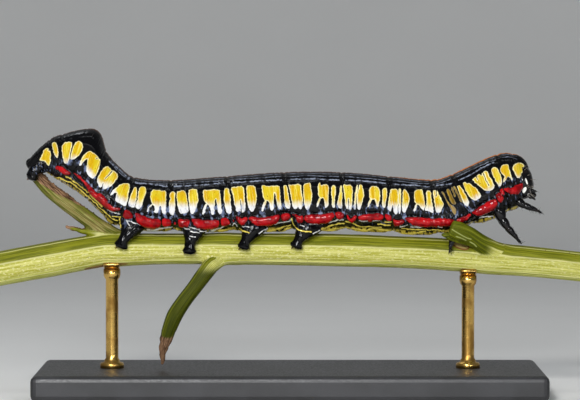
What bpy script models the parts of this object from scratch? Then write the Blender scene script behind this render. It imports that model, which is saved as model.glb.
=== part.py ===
# Brown-hooded owlet larva, life size, gripping a short cut length of green stem on a plain display stand.
# World frame: metres, +Z up, floor at Z = 0, larva's head towards +X, its right side towards -Y.
import math

import bmesh
import bpy
from mathutils import Vector

MM = 0.001

# Driving dimensions, in millimetres
GAP = 0.30
LARVA_NAME = "brown_hooded_owlet_larva"
BASE_LENGTH = 44.0
BASE_DEPTH = 18.0
BASE_HEIGHT = 2.2
BASE_ROUNDING = 0.5
ROD_RADIUS = 0.55
ROD_SPACING = 31.0
SOLVER = "MANIFOLD"
ROD_CUT_HEIGHT = 12.0
BODY_SIDES = 28
STEM_SIDES = 20
SHOOT_SIDES = 14
SHOOT_STEPS = 3
BRACT_SIDES = 8
BRACT_STEPS = 2
LEG_SIDES = 10
LEG_STEPS = 2
ROD_SIDES = 16

# The body's outline in side view. Each station has its place along the body in segments counted
# from the tail, then X and Z of the back, X and Z of the belly, and half the body's width.
STATIONS = (
    (0.0, -22.92, 20.00, -22.62, 19.52, 0.45),
    (0.2, -22.53, 20.57, -22.10, 19.44, 0.90),
    (0.55, -21.75, 21.39, -21.40, 19.35, 1.20),
    (1.0, -20.88, 22.09, -20.62, 18.83, 1.45),
    (2.0, -19.79, 22.57, -20.01, 18.48, 1.80),
    (2.5, -17.40, 23.05, -18.97, 17.83, 2.15),
    (2.8, -16.44, 22.57, -18.27, 17.35, 2.22),
    (3.0, -15.96, 21.09, -17.66, 16.83, 2.20),
    (3.5, -14.79, 19.70, -16.36, 15.65, 2.25),
    (4.0, -13.57, 18.83, -14.96, 14.56, 2.30),
    (5.0, -10.35, 18.57, -10.09, 14.22, 2.32),
    (6.0, -5.48, 18.91, -4.87, 14.22, 2.35),
    (7.0, -0.52, 19.26, 0.17, 14.26, 2.38),
    (8.0, 4.48, 19.26, 4.87, 14.30, 2.38),
    (9.0, 8.53, 18.91, 8.96, 14.09, 2.32),
    (10.0, 12.27, 18.61, 12.88, 13.95, 2.25),
    (11.0, 14.09, 19.09, 15.83, 14.74, 2.15),
    (12.0, 18.01, 20.83, 18.97, 15.78, 2.10),
    (13.0, 19.92, 20.78, 20.45, 16.74, 1.80),
)
SEGMENTS = (
    "abdomen_10", "abdomen_9", "abdomen_8", "abdomen_7", "abdomen_6", "abdomen_5", "abdomen_4",
    "abdomen_3", "abdomen_2", "abdomen_1", "metathorax", "mesothorax", "prothorax",
)
SECTION_SQUARENESS = 2.2
FOLD_DEPTH = 0.075
FOLD_REACH = 0.10
CREASE_DEPTH = 0.02
CREASE_PLACE = 0.46
LATERAL_RIDGE = 0.035
LATERAL_RIDGE_ANGLE = -38.0
LATERAL_RIDGE_SPREAD = 16.0
SEGMENT_RINGS = (0.0, 0.07, 0.22, 0.39, 0.46, 0.53, 0.76, 0.93, 1.0)

# The stem's middle line in side view: X, Z and radius
STEM_LINE = (
    (-25.75, 10.77, 1.48),
    (-20.88, 11.66, 1.50),
    (-16.53, 12.44, 1.43),
    (-14.79, 12.52, 1.39),
    (-10.35, 12.58, 1.33),
    (-4.87, 12.56, 1.35),
    (0.17, 12.52, 1.39),
    (4.87, 12.43, 1.41),
    (9.57, 12.28, 1.37),
    (13.05, 12.11, 1.39),
    (16.53, 11.85, 1.37),
    (21.75, 11.38, 1.30),
    (25.75, 10.97, 1.27),
)

# Side shoots of the stem: X, Y, Z, half width across the view and half depth
STUMP_LINE = (
    (-14.60, 0.0, 13.20, 0.85, 0.80),
    (-16.27, 0.0, 14.22, 0.75, 0.72),
    (-18.10, 0.0, 15.56, 0.70, 0.68),
    (-19.53, 0.0, 16.61, 0.68, 0.66),
    (-20.88, 0.0, 17.70, 0.64, 0.62),
    (-21.85, 0.0, 18.64, 0.58, 0.58),
)
BRACT_LINE = (
    (-16.70, -0.25, 14.02, 0.40, 0.55),
    (-17.70, -0.30, 14.10, 0.32, 0.48),
    (-18.60, -0.32, 14.30, 0.26, 0.36),
    (-19.50, -0.34, 14.52, 0.05, 0.08),
)
TWIG_LINE = (
    (-6.10, -0.80, 12.60, 0.85, 0.70),
    (-6.87, -1.25, 11.26, 0.74, 0.66),
    (-8.18, -1.40, 9.43, 0.66, 0.62),
    (-9.31, -1.40, 7.95, 0.66, 0.60),
    (-10.09, -1.35, 6.65, 0.68, 0.60),
    (-10.70, -1.25, 4.99, 0.58, 0.52),
    (-11.05, -1.20, 3.70, 0.36, 0.34),
    (-11.05, -1.20, 2.62, 0.12, 0.12),
)
LEAF_BASE_LINE = (
    (17.45, -0.80, 12.45, 0.62, 0.45),
    (16.60, -1.45, 13.00, 0.78, 0.36),
    (15.35, -2.30, 13.72, 0.84, 0.28),
    (14.50, -2.78, 14.17, 0.88, 0.26),
    (13.75, -3.05, 14.46, 0.84, 0.25),
)

# Legs on the right side: X, Y, Z, half width along the body and half width across it
PROLEG_LINES = {
    "proleg_a6": (
        (-13.55, -1.00, 15.20, 1.15, 0.80),
        (-13.90, -1.55, 14.35, 0.78, 0.62),
        (-14.28, -1.78, 13.60, 0.46, 0.45),
        (-14.50, -1.80, 13.12, 0.50, 0.44),
        (-14.64, -1.80, 12.72, 0.64, 0.46),
    ),
    "proleg_a5": (
        (-8.20, -1.00, 15.20, 1.15, 0.80),
        (-8.35, -1.55, 14.20, 0.86, 0.62),
        (-8.58, -1.78, 13.30, 0.52, 0.46),
        (-8.66, -1.80, 12.70, 0.52, 0.44),
        (-8.70, -1.80, 12.20, 0.66, 0.46),
    ),
    "proleg_a4": (
        (-3.05, -1.00, 15.20, 1.15, 0.80),
        (-3.35, -1.55, 14.30, 0.84, 0.62),
        (-3.72, -1.78, 13.50, 0.50, 0.45),
        (-3.86, -1.80, 13.05, 0.48, 0.44),
        (-3.94, -1.80, 12.60, 0.60, 0.46),
    ),
    "proleg_a3": (
        (1.75, -1.00, 15.20, 1.15, 0.80),
        (1.35, -1.55, 14.35, 0.84, 0.62),
        (0.92, -1.78, 13.55, 0.50, 0.45),
        (0.70, -1.80, 13.12, 0.46, 0.44),
        (0.56, -1.80, 12.68, 0.58, 0.46),
    ),
    "anal_proleg": (
        (-21.20, -0.60, 20.20, 0.70, 0.60),
        (-21.75, -1.00, 19.62, 0.66, 0.55),
        (-22.20, -1.15, 19.12, 0.54, 0.50),
        (-22.58, -1.12, 18.68, 0.62, 0.50),
    ),
}
LEG_LINES = {
    "leg_t1": (
        (19.05, -0.80, 17.60, 0.62, 0.62),
        (19.75, -1.05, 16.60, 0.46, 0.46),
        (20.45, -1.20, 16.08, 0.34, 0.34),
        (21.10, -1.15, 15.94, 0.27, 0.27),
        (21.80, -1.00, 15.78, 0.07, 0.07),
    ),
    "leg_t2": (
        (17.95, -0.85, 16.30, 0.66, 0.62),
        (18.45, -1.15, 15.05, 0.48, 0.46),
        (19.00, -1.20, 14.20, 0.34, 0.34),
        (19.52, -1.10, 13.68, 0.27, 0.27),
        (20.05, -1.00, 13.16, 0.07, 0.07),
    ),
    "leg_t3": (
        (14.85, -1.10, 14.95, 0.62, 0.60),
        (14.42, -1.62, 14.05, 0.42, 0.42),
        (14.05, -1.90, 13.30, 0.29, 0.29),
        (13.88, -1.98, 12.85, 0.27, 0.27),
        (13.77, -1.94, 12.30, 0.07, 0.07),
    ),
}

# Head, in its own axes: forward, to the left and up from the middle of the body's front end
HEAD_PIECES = (
    (0.05, 0.60, -0.12, 0.98, 1.02, 1.72),
    (0.05, -0.60, -0.12, 0.98, 1.02, 1.72),
    (0.72, 0.0, -1.18, 0.38, 0.55, 0.42),
    (0.86, 0.28, -1.62, 0.32, 0.34, 0.30),
    (0.86, -0.28, -1.62, 0.32, 0.34, 0.30),
)
HEAD_SIDES = (20, 12)
EYE_RADIUS = 0.15
EYE_SIDES = (6, 4)
EYES_PER_SIDE = 6
ANTENNA_LINE = (
    (0.55, 0.85, -1.12, 0.30, 0.30),
    (0.95, 0.95, -1.30, 0.26, 0.26),
    (1.38, 1.00, -1.36, 0.08, 0.08),
)

COLOURS = {
    "cuticle": ((0.012, 0.012, 0.016), 0.25, 0.0),
    "horn": ((0.010, 0.010, 0.012), 0.18, 0.0),
    "stem": ((0.40, 0.44, 0.10), 0.50, 0.0),
    "shoot": ((0.24, 0.30, 0.04), 0.50, 0.0),
    "stand": ((0.05, 0.05, 0.055), 0.55, 0.0),
    "rod": ((0.55, 0.42, 0.20), 0.30, 1.0),
}


def clear_scene():
    for thing in list(bpy.data.objects):
        bpy.data.objects.remove(thing)


def new_collection(name):
    group = bpy.data.collections.new(name)
    bpy.context.scene.collection.children.link(group)
    return group


def new_material(name):
    colour, roughness, metallic = COLOURS[name]
    made = bpy.data.materials.new(name)
    made.use_nodes = True
    shader = made.node_tree.nodes["Principled BSDF"]
    shader.inputs["Base Color"].default_value = (*colour, 1.0)
    shader.inputs["Roughness"].default_value = roughness
    shader.inputs["Metallic"].default_value = metallic
    made.diffuse_color = (*colour, 1.0)
    return made


def mm(x, y, z):
    return Vector((x * MM, y * MM, z * MM))


def catmull_rom(rows, place):
    """A row of numbers at place on the smooth curve through rows, whose first column is the place."""
    last = len(rows) - 2
    i = 0
    while i < last and rows[i + 1][0] < place:
        i += 1
    a, b = rows[i], rows[i + 1]
    before = rows[max(i - 1, 0)]
    after = rows[min(i + 2, last + 1)]
    span = b[0] - a[0]
    t = (place - a[0]) / span
    found = []
    for k in range(1, len(a)):
        slope_a = (b[k] - before[k]) / (b[0] - before[0]) * span
        slope_b = (after[k] - a[k]) / (after[0] - a[0]) * span
        found.append(
            (2 * t**3 - 3 * t**2 + 1) * a[k]
            + (t**3 - 2 * t**2 + t) * slope_a
            + (3 * t**2 - 2 * t**3) * b[k]
            + (t**3 - t**2) * slope_b
        )
    return found


def new_mesh_object(name, bm, material, collection):
    bmesh.ops.recalc_face_normals(bm, faces=bm.faces)
    mesh = bpy.data.meshes.new(name)
    bm.to_mesh(mesh)
    bm.free()
    made = bpy.data.objects.new(name, mesh)
    collection.objects.link(made)
    if material:
        made.data.materials.append(material)
    return made


def loft(rings):
    """A closed body through rings of equally many points, with flat ends."""
    bm = bmesh.new()
    rows = [[bm.verts.new(point) for point in ring] for ring in rings]
    sides = len(rings[0])
    for low, high in zip(rows, rows[1:]):
        for k in range(sides):
            following = (k + 1) % sides
            bm.faces.new((low[k], low[following], high[following], high[k]))
    bm.faces.new(rows[0])
    bm.faces.new(rows[-1])
    return bm


def shade(thing, angle=40.0):
    thing.data.shade_smooth()
    thing.data.set_sharp_from_angle(angle=math.radians(angle))


def body_frame(place):
    """Middle, forward axis, half height vector and half width of the body at a place along it."""
    back_x, back_z, belly_x, belly_z, half_width = catmull_rom(STATIONS, place)
    back, belly = mm(back_x, 0, back_z), mm(belly_x, 0, belly_z)
    half_height = (back - belly) / 2
    forward = Vector((0, 1, 0)).cross(half_height).normalized()
    return (back + belly) / 2, forward, half_height, half_width * MM


def fold_scale(place):
    """Folds between segments and a shallow crease across each make the section smaller there."""
    part = place - math.floor(place)
    to_fold = min(part, 1 - part)
    folded = FOLD_DEPTH * math.exp(-((to_fold / FOLD_REACH) ** 2))
    creased = CREASE_DEPTH * math.exp(-(((part - CREASE_PLACE) / 0.03) ** 2))
    return 1 - folded - creased


def body_ring(place, shift=0.0, grow=0.0):
    """Points round the body at a place, moved forwards by shift and outwards by grow, in metres."""
    middle, forward, half_height, half_width = body_frame(place)
    up = half_height.normalized()
    scale = fold_scale(place)
    points = []
    for k in range(BODY_SIDES):
        angle = 2 * math.pi * k / BODY_SIDES
        side, rise = math.cos(angle), math.sin(angle)
        power = 2 / SECTION_SQUARENESS
        side = math.copysign(abs(side) ** power, side)
        rise = math.copysign(abs(rise) ** power, rise)
        low = math.degrees(math.asin(max(-1.0, min(1.0, math.sin(angle)))))
        ridge = 1 + LATERAL_RIDGE * math.exp(
            -(((low - LATERAL_RIDGE_ANGLE) / LATERAL_RIDGE_SPREAD) ** 2)
        )
        across = -side * (half_width * scale * ridge + grow)
        along_up = rise * (half_height.length * scale * ridge + grow)
        points.append(middle + forward * shift + Vector((0, across, 0)) + up * along_up)
    return points


def segment_rings(number):
    """Rings of one segment, drawn in by half the gap at each end."""
    rings = []
    for part in SEGMENT_RINGS:
        place = number + part
        shift = GAP * MM * (0.5 - part)
        if place == 0 or place == len(SEGMENTS):
            shift = 0.0
        rings.append(body_ring(min(max(place, number + 1e-4), number + 1 - 1e-4), shift))
    return rings


def body_cutter(collection):
    """The whole body grown by the gap, which cuts whatever grows from it."""
    steps, tail_share = 6, 0.6
    middle, forward, _, _ = body_frame(0.0)
    tail = body_ring(0.0, 0.0, GAP * MM)
    rings = [[middle + (point - middle) * tail_share - forward * GAP * MM for point in tail], tail]
    for k in range(1, len(SEGMENTS) * steps + 1):
        rings.append(body_ring(min(k / steps, len(SEGMENTS) - 1e-4), 0.0, GAP * MM))
    _, forward, _, _ = body_frame(len(SEGMENTS) - 1e-4)
    rings.append([point + forward * GAP * MM for point in rings[-1]])
    return hidden(new_mesh_object("body_cutter", loft(rings), None, collection))


def hidden(thing):
    thing.hide_render = True
    thing.display_type = "WIRE"
    return thing


def smooth_path(rows, steps):
    """The rows of a path, with more between them on a smooth curve."""
    numbered = [(float(i), *row) for i, row in enumerate(rows)]
    count = (len(rows) - 1) * steps
    return [catmull_rom(numbered, k / steps) for k in range(count + 1)]


def tube_rings(rows, sides, grow=0.0, upright_ends=False):
    """Elliptical rings square to a path whose rows hold X, Y, Z and two half widths."""
    places = [mm(*row[:3]) for row in rows]
    last = len(rows) - 1
    rings = []
    for i, row in enumerate(rows):
        ahead = places[min(i + 1, last)] - places[max(i - 1, 0)]
        tangent = ahead.normalized()
        if upright_ends and i in (0, last):
            tangent = Vector((1, 0, 0))
        across = Vector((0, 1, 0)) - tangent * tangent.y
        across.normalize()
        along = tangent.cross(across)
        wide, deep = row[3] * MM + grow, row[4] * MM + grow
        ring = []
        for k in range(sides):
            angle = 2 * math.pi * k / sides
            offset = along * (wide * math.cos(angle)) + across * (deep * math.sin(angle))
            ring.append(places[i] + offset)
        rings.append(ring)
    return rings


def mirrored(rows):
    return tuple((row[0], -row[1], *row[2:]) for row in rows)


def apply_modifiers(thing):
    view = bpy.context.evaluated_depsgraph_get()
    mesh = bpy.data.meshes.new_from_object(thing.evaluated_get(view))
    thing.modifiers.clear()
    thing.data = mesh


def cut(thing, *cutters):
    for cutter in cutters:
        modifier = thing.modifiers.new("cut by " + cutter.name, "BOOLEAN")
        modifier.operation = "DIFFERENCE"
        modifier.solver = SOLVER
        modifier.object = cutter
    apply_modifiers(thing)
    keep_largest(thing)


def join(thing, pieces):
    """One Boolean union of a body with the closed pieces rooted in it."""
    group = new_collection(thing.name + " pieces")
    for piece in pieces:
        for owner in list(piece.users_collection):
            owner.objects.unlink(piece)
        group.objects.link(piece)
    modifier = thing.modifiers.new("join", "BOOLEAN")
    modifier.operation = "UNION"
    modifier.solver = SOLVER
    modifier.operand_type = "COLLECTION"
    modifier.collection = group
    apply_modifiers(thing)
    for piece in pieces:
        bpy.data.objects.remove(piece)
    bpy.data.collections.remove(group)
    keep_largest(thing)


def keep_largest(thing):
    """Drops loose scraps that a cut leaves."""
    bm = bmesh.new()
    bm.from_mesh(thing.data)
    unseen = set(bm.verts)
    shells = []
    while unseen:
        start = unseen.pop()
        shell, edge = {start}, [start]
        while edge:
            for link in edge.pop().link_edges:
                for vert in link.verts:
                    if vert in unseen:
                        unseen.discard(vert)
                        shell.add(vert)
                        edge.append(vert)
        shells.append(shell)
    shells.sort(key=len)
    for shell in shells[:-1]:
        bmesh.ops.delete(bm, geom=list(shell), context="VERTS")
    bm.to_mesh(thing.data)
    bm.free()


def ellipsoid(name, middle, axes, radii, sides, material, collection):
    """An ellipsoid with radii along three given axes."""
    bm = bmesh.new()
    bmesh.ops.create_uvsphere(bm, u_segments=sides[0], v_segments=sides[1], radius=1.0)
    for vert in bm.verts:
        offset = sum((axis * radius * c for axis, radius, c in zip(axes, radii, vert.co)), Vector())
        vert.co = middle + offset
    return new_mesh_object(name, bm, material, collection)


def build_body(material, collection):
    for number, name in enumerate(SEGMENTS):
        shade(new_mesh_object(name, loft(segment_rings(number)), material, collection))


def head_axes():
    middle, forward, half_height, _ = body_frame(len(SEGMENTS) - 1e-4)
    return middle, (forward, Vector((0, 1, 0)), half_height.normalized())


def head_point(forward, left, up):
    middle, axes = head_axes()
    return middle + axes[0] * forward * MM + axes[1] * left * MM + axes[2] * up * MM


def eye_places(side):
    """Middles of the simple eyes, in a curve low on one cheek."""
    forward, left, up, deep, wide, tall = HEAD_PIECES[0]
    places = []
    for k in range(EYES_PER_SIDE):
        turn = math.radians(28 + 16 * math.sin(math.pi * k / (EYES_PER_SIDE - 1)))
        rise = math.radians(-20 - 8.5 * k)
        places.append(
            head_point(
                forward + deep * math.cos(rise) * math.sin(turn),
                side * (left + wide * math.cos(rise) * math.cos(turn)),
                up + tall * math.sin(rise),
            )
        )
    return places


def build_head(material, collection, cutter):
    _, axes = head_axes()
    pieces = []
    for forward, left, up, deep, wide, tall in HEAD_PIECES:
        radii = (deep * MM, wide * MM, tall * MM)
        middle = head_point(forward, left, up)
        pieces.append(ellipsoid("head", middle, axes, radii, HEAD_SIDES, material, collection))
    radii = (EYE_RADIUS * MM,) * 3
    for side in (-1, 1):
        for place in eye_places(side):
            pieces.append(ellipsoid("eye", place, axes, radii, EYE_SIDES, material, collection))
    head = pieces[0]
    head.name = "head"
    join(head, pieces[1:])
    cut(head, cutter)
    shade(head)
    return head


def head_cutter(collection):
    """The head's lobes grown by the gap, which cut the antennae free."""
    _, axes = head_axes()
    grown = []
    for forward, left, up, deep, wide, tall in HEAD_PIECES[:3]:
        radii = tuple((radius + GAP) * MM for radius in (deep, wide, tall))
        middle = head_point(forward, left, up)
        grown.append(hidden(ellipsoid("head_cutter", middle, axes, radii, HEAD_SIDES, None, collection)))
    return grown


def build_antennae(material, collection, cutters):
    for side, name in ((-1, "antenna_right"), (1, "antenna_left")):
        rows = []
        for forward, left, up, wide, deep in ANTENNA_LINE:
            place = head_point(forward, side * left, up) / MM
            rows.append((*place, wide, deep))
        rings = tube_rings(smooth_path(rows, LEG_STEPS), LEG_SIDES)
        antenna = new_mesh_object(name, loft(rings), material, collection)
        cut(antenna, *cutters)
        shade(antenna)


def build_limbs(lines, steps, material, collection, cutters):
    for stem_name, rows in lines.items():
        for side, line in (("right", rows), ("left", mirrored(rows))):
            rings = tube_rings(smooth_path(line, steps), LEG_SIDES)
            limb = new_mesh_object(f"{stem_name}_{side}", loft(rings), material, collection)
            cut(limb, *cutters)
            shade(limb)


def stem_rows(reach=0.0):
    """The stem's path, run past both ends by reach, in millimetres."""
    steps = 3
    rows = [(x, 0.0, z, radius, radius) for x, z, radius in STEM_LINE]
    path = [tuple(row) for row in smooth_path(rows, steps)]
    if reach:
        first, last = path[0], path[-1]
        path = [(first[0] - reach, *first[1:]), *path, (last[0] + reach, *last[1:])]
    return path


def build_perch(stem_material, shoot_material, collection, cutters):
    rings = tube_rings(stem_rows(), STEM_SIDES, upright_ends=True)
    stem = new_mesh_object("perch_stem", loft(rings), stem_material, collection)
    shade(stem)
    grown = tube_rings(stem_rows(reach=1.0), STEM_SIDES, GAP * MM)
    stem_cutter = hidden(new_mesh_object("stem_cutter", loft(grown), None, cutters))

    shoots = {"perch_stump": STUMP_LINE, "perch_twig": TWIG_LINE, "perch_leaf_base": LEAF_BASE_LINE}
    for name, line in shoots.items():
        rings = tube_rings(smooth_path(line, SHOOT_STEPS), SHOOT_SIDES)
        shoot = new_mesh_object(name, loft(rings), shoot_material, collection)
        if name == "perch_stump":
            bract_rings = tube_rings(smooth_path(BRACT_LINE, BRACT_STEPS), BRACT_SIDES)
            join(shoot, [new_mesh_object("bract", loft(bract_rings), shoot_material, collection)])
        cut(shoot, stem_cutter)
        shade(shoot)
    stump_path = smooth_path(extended(STUMP_LINE), SHOOT_STEPS)
    grown_stump = tube_rings(stump_path, SHOOT_SIDES, GAP * MM)
    stump_cutter = hidden(new_mesh_object("stump_cutter", loft(grown_stump), None, cutters))
    return stem_cutter, stump_cutter


def extended(line):
    """A path run on past its far end by the gap."""
    last, before = line[-1], line[-2]
    step = mm(*last[:3]) - mm(*before[:3])
    tip = mm(*last[:3]) + step.normalized() * GAP * MM
    return (*line, (tip.x / MM, tip.y / MM, tip.z / MM, *last[3:]))


def build_stand(material, rod_material, collection, stem_cutter):
    bpy.ops.mesh.primitive_cube_add(size=1.0, location=(0, 0, BASE_HEIGHT * MM / 2))
    base = bpy.context.object
    base.name = "stand_base"
    for owner in list(base.users_collection):
        owner.objects.unlink(base)
    collection.objects.link(base)
    base.scale = (BASE_LENGTH * MM, BASE_DEPTH * MM, BASE_HEIGHT * MM)
    bpy.ops.object.transform_apply(location=False, rotation=False, scale=True)
    rounding = base.modifiers.new("rounded edges", "BEVEL")
    rounding.width = BASE_ROUNDING * MM
    rounding.segments = 3
    base.data.materials.append(material)
    shade(base)

    # Each rod starts longer than it ends up, and the stem's grown shape cuts its top to fit
    foot = (BASE_HEIGHT + GAP) * MM
    top = ROD_CUT_HEIGHT * MM
    radius = ROD_RADIUS * MM
    for side, name in ((-1, "stand_rod_rear"), (1, "stand_rod_front")):
        bm = bmesh.new()
        bmesh.ops.create_cone(
            bm, cap_ends=True, segments=ROD_SIDES, radius1=radius, radius2=radius, depth=top - foot
        )
        place = Vector((side * ROD_SPACING * MM / 2, 0, (top + foot) / 2))
        bmesh.ops.translate(bm, verts=bm.verts, vec=place)
        rod = new_mesh_object(name, bm, rod_material, collection)
        cut(rod, stem_cutter)
        shade(rod)


def main():
    clear_scene()
    larva = new_collection(LARVA_NAME)
    cutters = new_collection("cutters")
    materials = {name: new_material(name) for name in COLOURS}
    grown_body = body_cutter(cutters)
    stem_cutter, stump_cutter = build_perch(materials["stem"], materials["shoot"], larva, cutters)
    build_body(materials["cuticle"], larva)
    build_head(materials["horn"], larva, grown_body)
    build_antennae(materials["horn"], larva, head_cutter(cutters))
    limb_cutters = (grown_body, stem_cutter, stump_cutter)
    build_limbs(PROLEG_LINES, LEG_STEPS, materials["cuticle"], larva, limb_cutters)
    build_limbs(LEG_LINES, LEG_STEPS, materials["horn"], larva, limb_cutters)
    build_stand(materials["stand"], materials["rod"], larva, stem_cutter)


main()
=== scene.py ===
# Looks of the brown-hooded owlet larva on its stem perch and display stand.
# Lengths are in millimetres until a mesh is made. The row frame is in metres, +Z up, the head
# towards +X, and the camera stands on the larva's right side, looking along +Y.
import math
import random

import bmesh
import bpy
import numpy as np
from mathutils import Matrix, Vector, noise


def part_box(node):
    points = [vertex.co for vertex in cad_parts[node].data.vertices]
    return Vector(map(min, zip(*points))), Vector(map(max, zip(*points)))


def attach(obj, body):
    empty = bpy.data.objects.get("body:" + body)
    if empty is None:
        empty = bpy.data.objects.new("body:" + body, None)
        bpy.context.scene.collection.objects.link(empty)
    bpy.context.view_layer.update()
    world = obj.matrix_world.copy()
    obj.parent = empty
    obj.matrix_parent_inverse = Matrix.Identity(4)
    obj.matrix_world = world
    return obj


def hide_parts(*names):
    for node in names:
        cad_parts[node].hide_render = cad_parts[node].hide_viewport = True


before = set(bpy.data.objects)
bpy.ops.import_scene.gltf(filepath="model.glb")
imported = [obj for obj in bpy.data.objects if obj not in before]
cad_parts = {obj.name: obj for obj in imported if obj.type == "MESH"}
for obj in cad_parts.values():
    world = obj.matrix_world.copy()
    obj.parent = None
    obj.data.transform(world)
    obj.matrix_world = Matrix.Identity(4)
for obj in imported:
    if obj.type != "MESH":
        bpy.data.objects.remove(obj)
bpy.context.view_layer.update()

MM = 0.001
SEED = 7
# The right side is at -Y, the left one at +Y
SIDES = (-1, 1)

# Camera and the photograph's frame
PICTURE_WIDTH = 50.46
PIXEL = 0.087
PICTURE_MIDDLE = (290.0, 200.0)
DISTANCE = 300.0
CAMERA_RISE = math.radians(2.0)
AIM_HEIGHT = 16.83
SENSOR = 36.0

# The body's outline in side view. Each station has its place along the body in segments counted
# from the tail, then X and Z of the back, X and Z of the belly, and half the body's width.
STATIONS = (
    (0.0, -22.92, 20.00, -22.62, 19.52, 0.45),
    (0.2, -22.53, 20.57, -22.10, 19.44, 0.90),
    (0.55, -21.75, 21.39, -21.40, 19.35, 1.20),
    (1.0, -20.88, 22.09, -20.62, 18.83, 1.45),
    (2.0, -19.79, 22.57, -20.01, 18.48, 1.80),
    (2.5, -17.40, 23.05, -18.97, 17.83, 2.15),
    (2.8, -16.44, 22.57, -18.27, 17.35, 2.22),
    (3.0, -15.96, 21.09, -17.66, 16.83, 2.20),
    (3.5, -14.79, 19.70, -16.36, 15.65, 2.25),
    (4.0, -13.57, 18.83, -14.96, 14.56, 2.30),
    (5.0, -10.35, 18.57, -10.09, 14.22, 2.32),
    (6.0, -5.48, 18.91, -4.87, 14.22, 2.35),
    (7.0, -0.52, 19.26, 0.17, 14.26, 2.38),
    (8.0, 4.48, 19.26, 4.87, 14.30, 2.38),
    (9.0, 8.53, 18.91, 8.96, 14.09, 2.32),
    (10.0, 12.27, 18.61, 12.88, 13.95, 2.25),
    (11.0, 14.09, 19.09, 15.83, 14.74, 2.15),
    (12.0, 18.01, 20.83, 18.97, 15.78, 2.10),
    (13.0, 19.92, 20.78, 20.45, 16.74, 1.80),
)
SEGMENTS = (
    "abdomen_10", "abdomen_9", "abdomen_8", "abdomen_7", "abdomen_6", "abdomen_5", "abdomen_4",
    "abdomen_3", "abdomen_2", "abdomen_1", "metathorax", "mesothorax", "prothorax",
)
# How square the section is, and what share of it goes at the folds and towards the neck
SECTION_SQUARENESS = 2.2
FOLD_SHARE = 0.014
FOLD_REACH = 0.10
NECK_SHARE = 0.15
NECK_REACH = 0.62
NECK_POWER = 2.2
# Rings and sides of the plain lofts under the skins
BODY_SIDES = 120
RINGS_PER_SEGMENT = 24
SAMPLES_PER_SEGMENT = 40
PROLEG_SIDES = 40
STEM_SIDES = 72
SHOOT_SIDES = 48
STEM_STEPS = 8
SHOOT_STEPS = 6
# Domed ends of a tube: the turns of their rings in degrees, and their length over its half width
TIP_TURNS = (30, 55, 75)
TIP_LENGTH = 0.7
# An ellipsoid's rings stop short of its poles, and the body's last ring lies inside its last segment
POLE_SHARE = 0.93
LAST_SLIVER = 1e-4
# Steps for measuring a place along the body, and points handled at once
NUDGE = 0.01
POINTS_AT_ONCE = 20000
# Voxels that join the lofts into one skin, and the rounds of smoothing that follow
SKIN_VOXEL = 0.05
HEAD_VOXEL = 0.035
PERCH_VOXEL = 0.07
SKIN_ROUNDS = 6
HEAD_ROUNDS = 4
PERCH_ROUNDS = 9

# Legs on the right side: X, Y, Z, half width along the body and half width across it
PROLEG_LINES = {
    "proleg_a6": (
        (-13.40, -0.90, 15.40, 1.45, 0.85),
        (-13.75, -1.40, 14.60, 1.05, 0.72),
        (-14.12, -1.72, 13.90, 0.62, 0.50),
        (-14.36, -1.80, 13.52, 0.48, 0.42),
        (-14.50, -1.82, 13.24, 0.52, 0.42),
        (-14.62, -1.80, 12.98, 0.64, 0.46),
    ),
    "proleg_a5": (
        (-8.15, -0.90, 15.40, 1.55, 0.85),
        (-8.30, -1.40, 14.50, 1.15, 0.72),
        (-8.52, -1.72, 13.60, 0.66, 0.50),
        (-8.64, -1.80, 13.10, 0.48, 0.42),
        (-8.68, -1.82, 12.78, 0.48, 0.42),
        (-8.70, -1.80, 12.50, 0.62, 0.46),
    ),
    "proleg_a4": (
        (-2.95, -0.90, 15.40, 1.55, 0.85),
        (-3.20, -1.40, 14.60, 1.15, 0.72),
        (-3.62, -1.72, 13.80, 0.64, 0.50),
        (-3.82, -1.80, 13.40, 0.46, 0.42),
        (-3.92, -1.82, 13.12, 0.46, 0.42),
        (-4.00, -1.80, 12.88, 0.58, 0.46),
    ),
    "proleg_a3": (
        (1.85, -0.90, 15.40, 1.55, 0.85),
        (1.50, -1.40, 14.60, 1.15, 0.72),
        (1.02, -1.72, 13.85, 0.64, 0.50),
        (0.76, -1.80, 13.48, 0.45, 0.42),
        (0.66, -1.82, 13.22, 0.45, 0.42),
        (0.56, -1.80, 12.97, 0.56, 0.46),
    ),
    "anal_proleg": (
        (-21.10, -0.55, 20.30, 0.88, 0.66),
        (-21.66, -0.92, 19.84, 0.74, 0.60),
        (-22.06, -1.06, 19.50, 0.58, 0.52),
        (-22.26, -1.06, 19.14, 0.52, 0.50),
        (-22.36, -1.04, 18.90, 0.58, 0.52),
    ),
}

# Rows of a smooth proleg that hang free of the body, and where its dark skin has faded out
FREE_LEG_STEPS = 6
FREE_LEG_START = 8
LEG_FADE = 1.5

# Swellings at the tail and of the shield over the head: X, Y, Z and half length, width and height
BODY_LUMPS = (
    (19.34, 0.25, 19.24, 1.44, 1.10, 1.60),
    (-22.20, 0.45, 19.92, 0.66, 0.62, 0.58),
    (-21.60, 0.70, 19.86, 0.60, 0.58, 0.62),
    (-22.55, 0.30, 20.05, 0.40, 0.42, 0.42),
)

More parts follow.
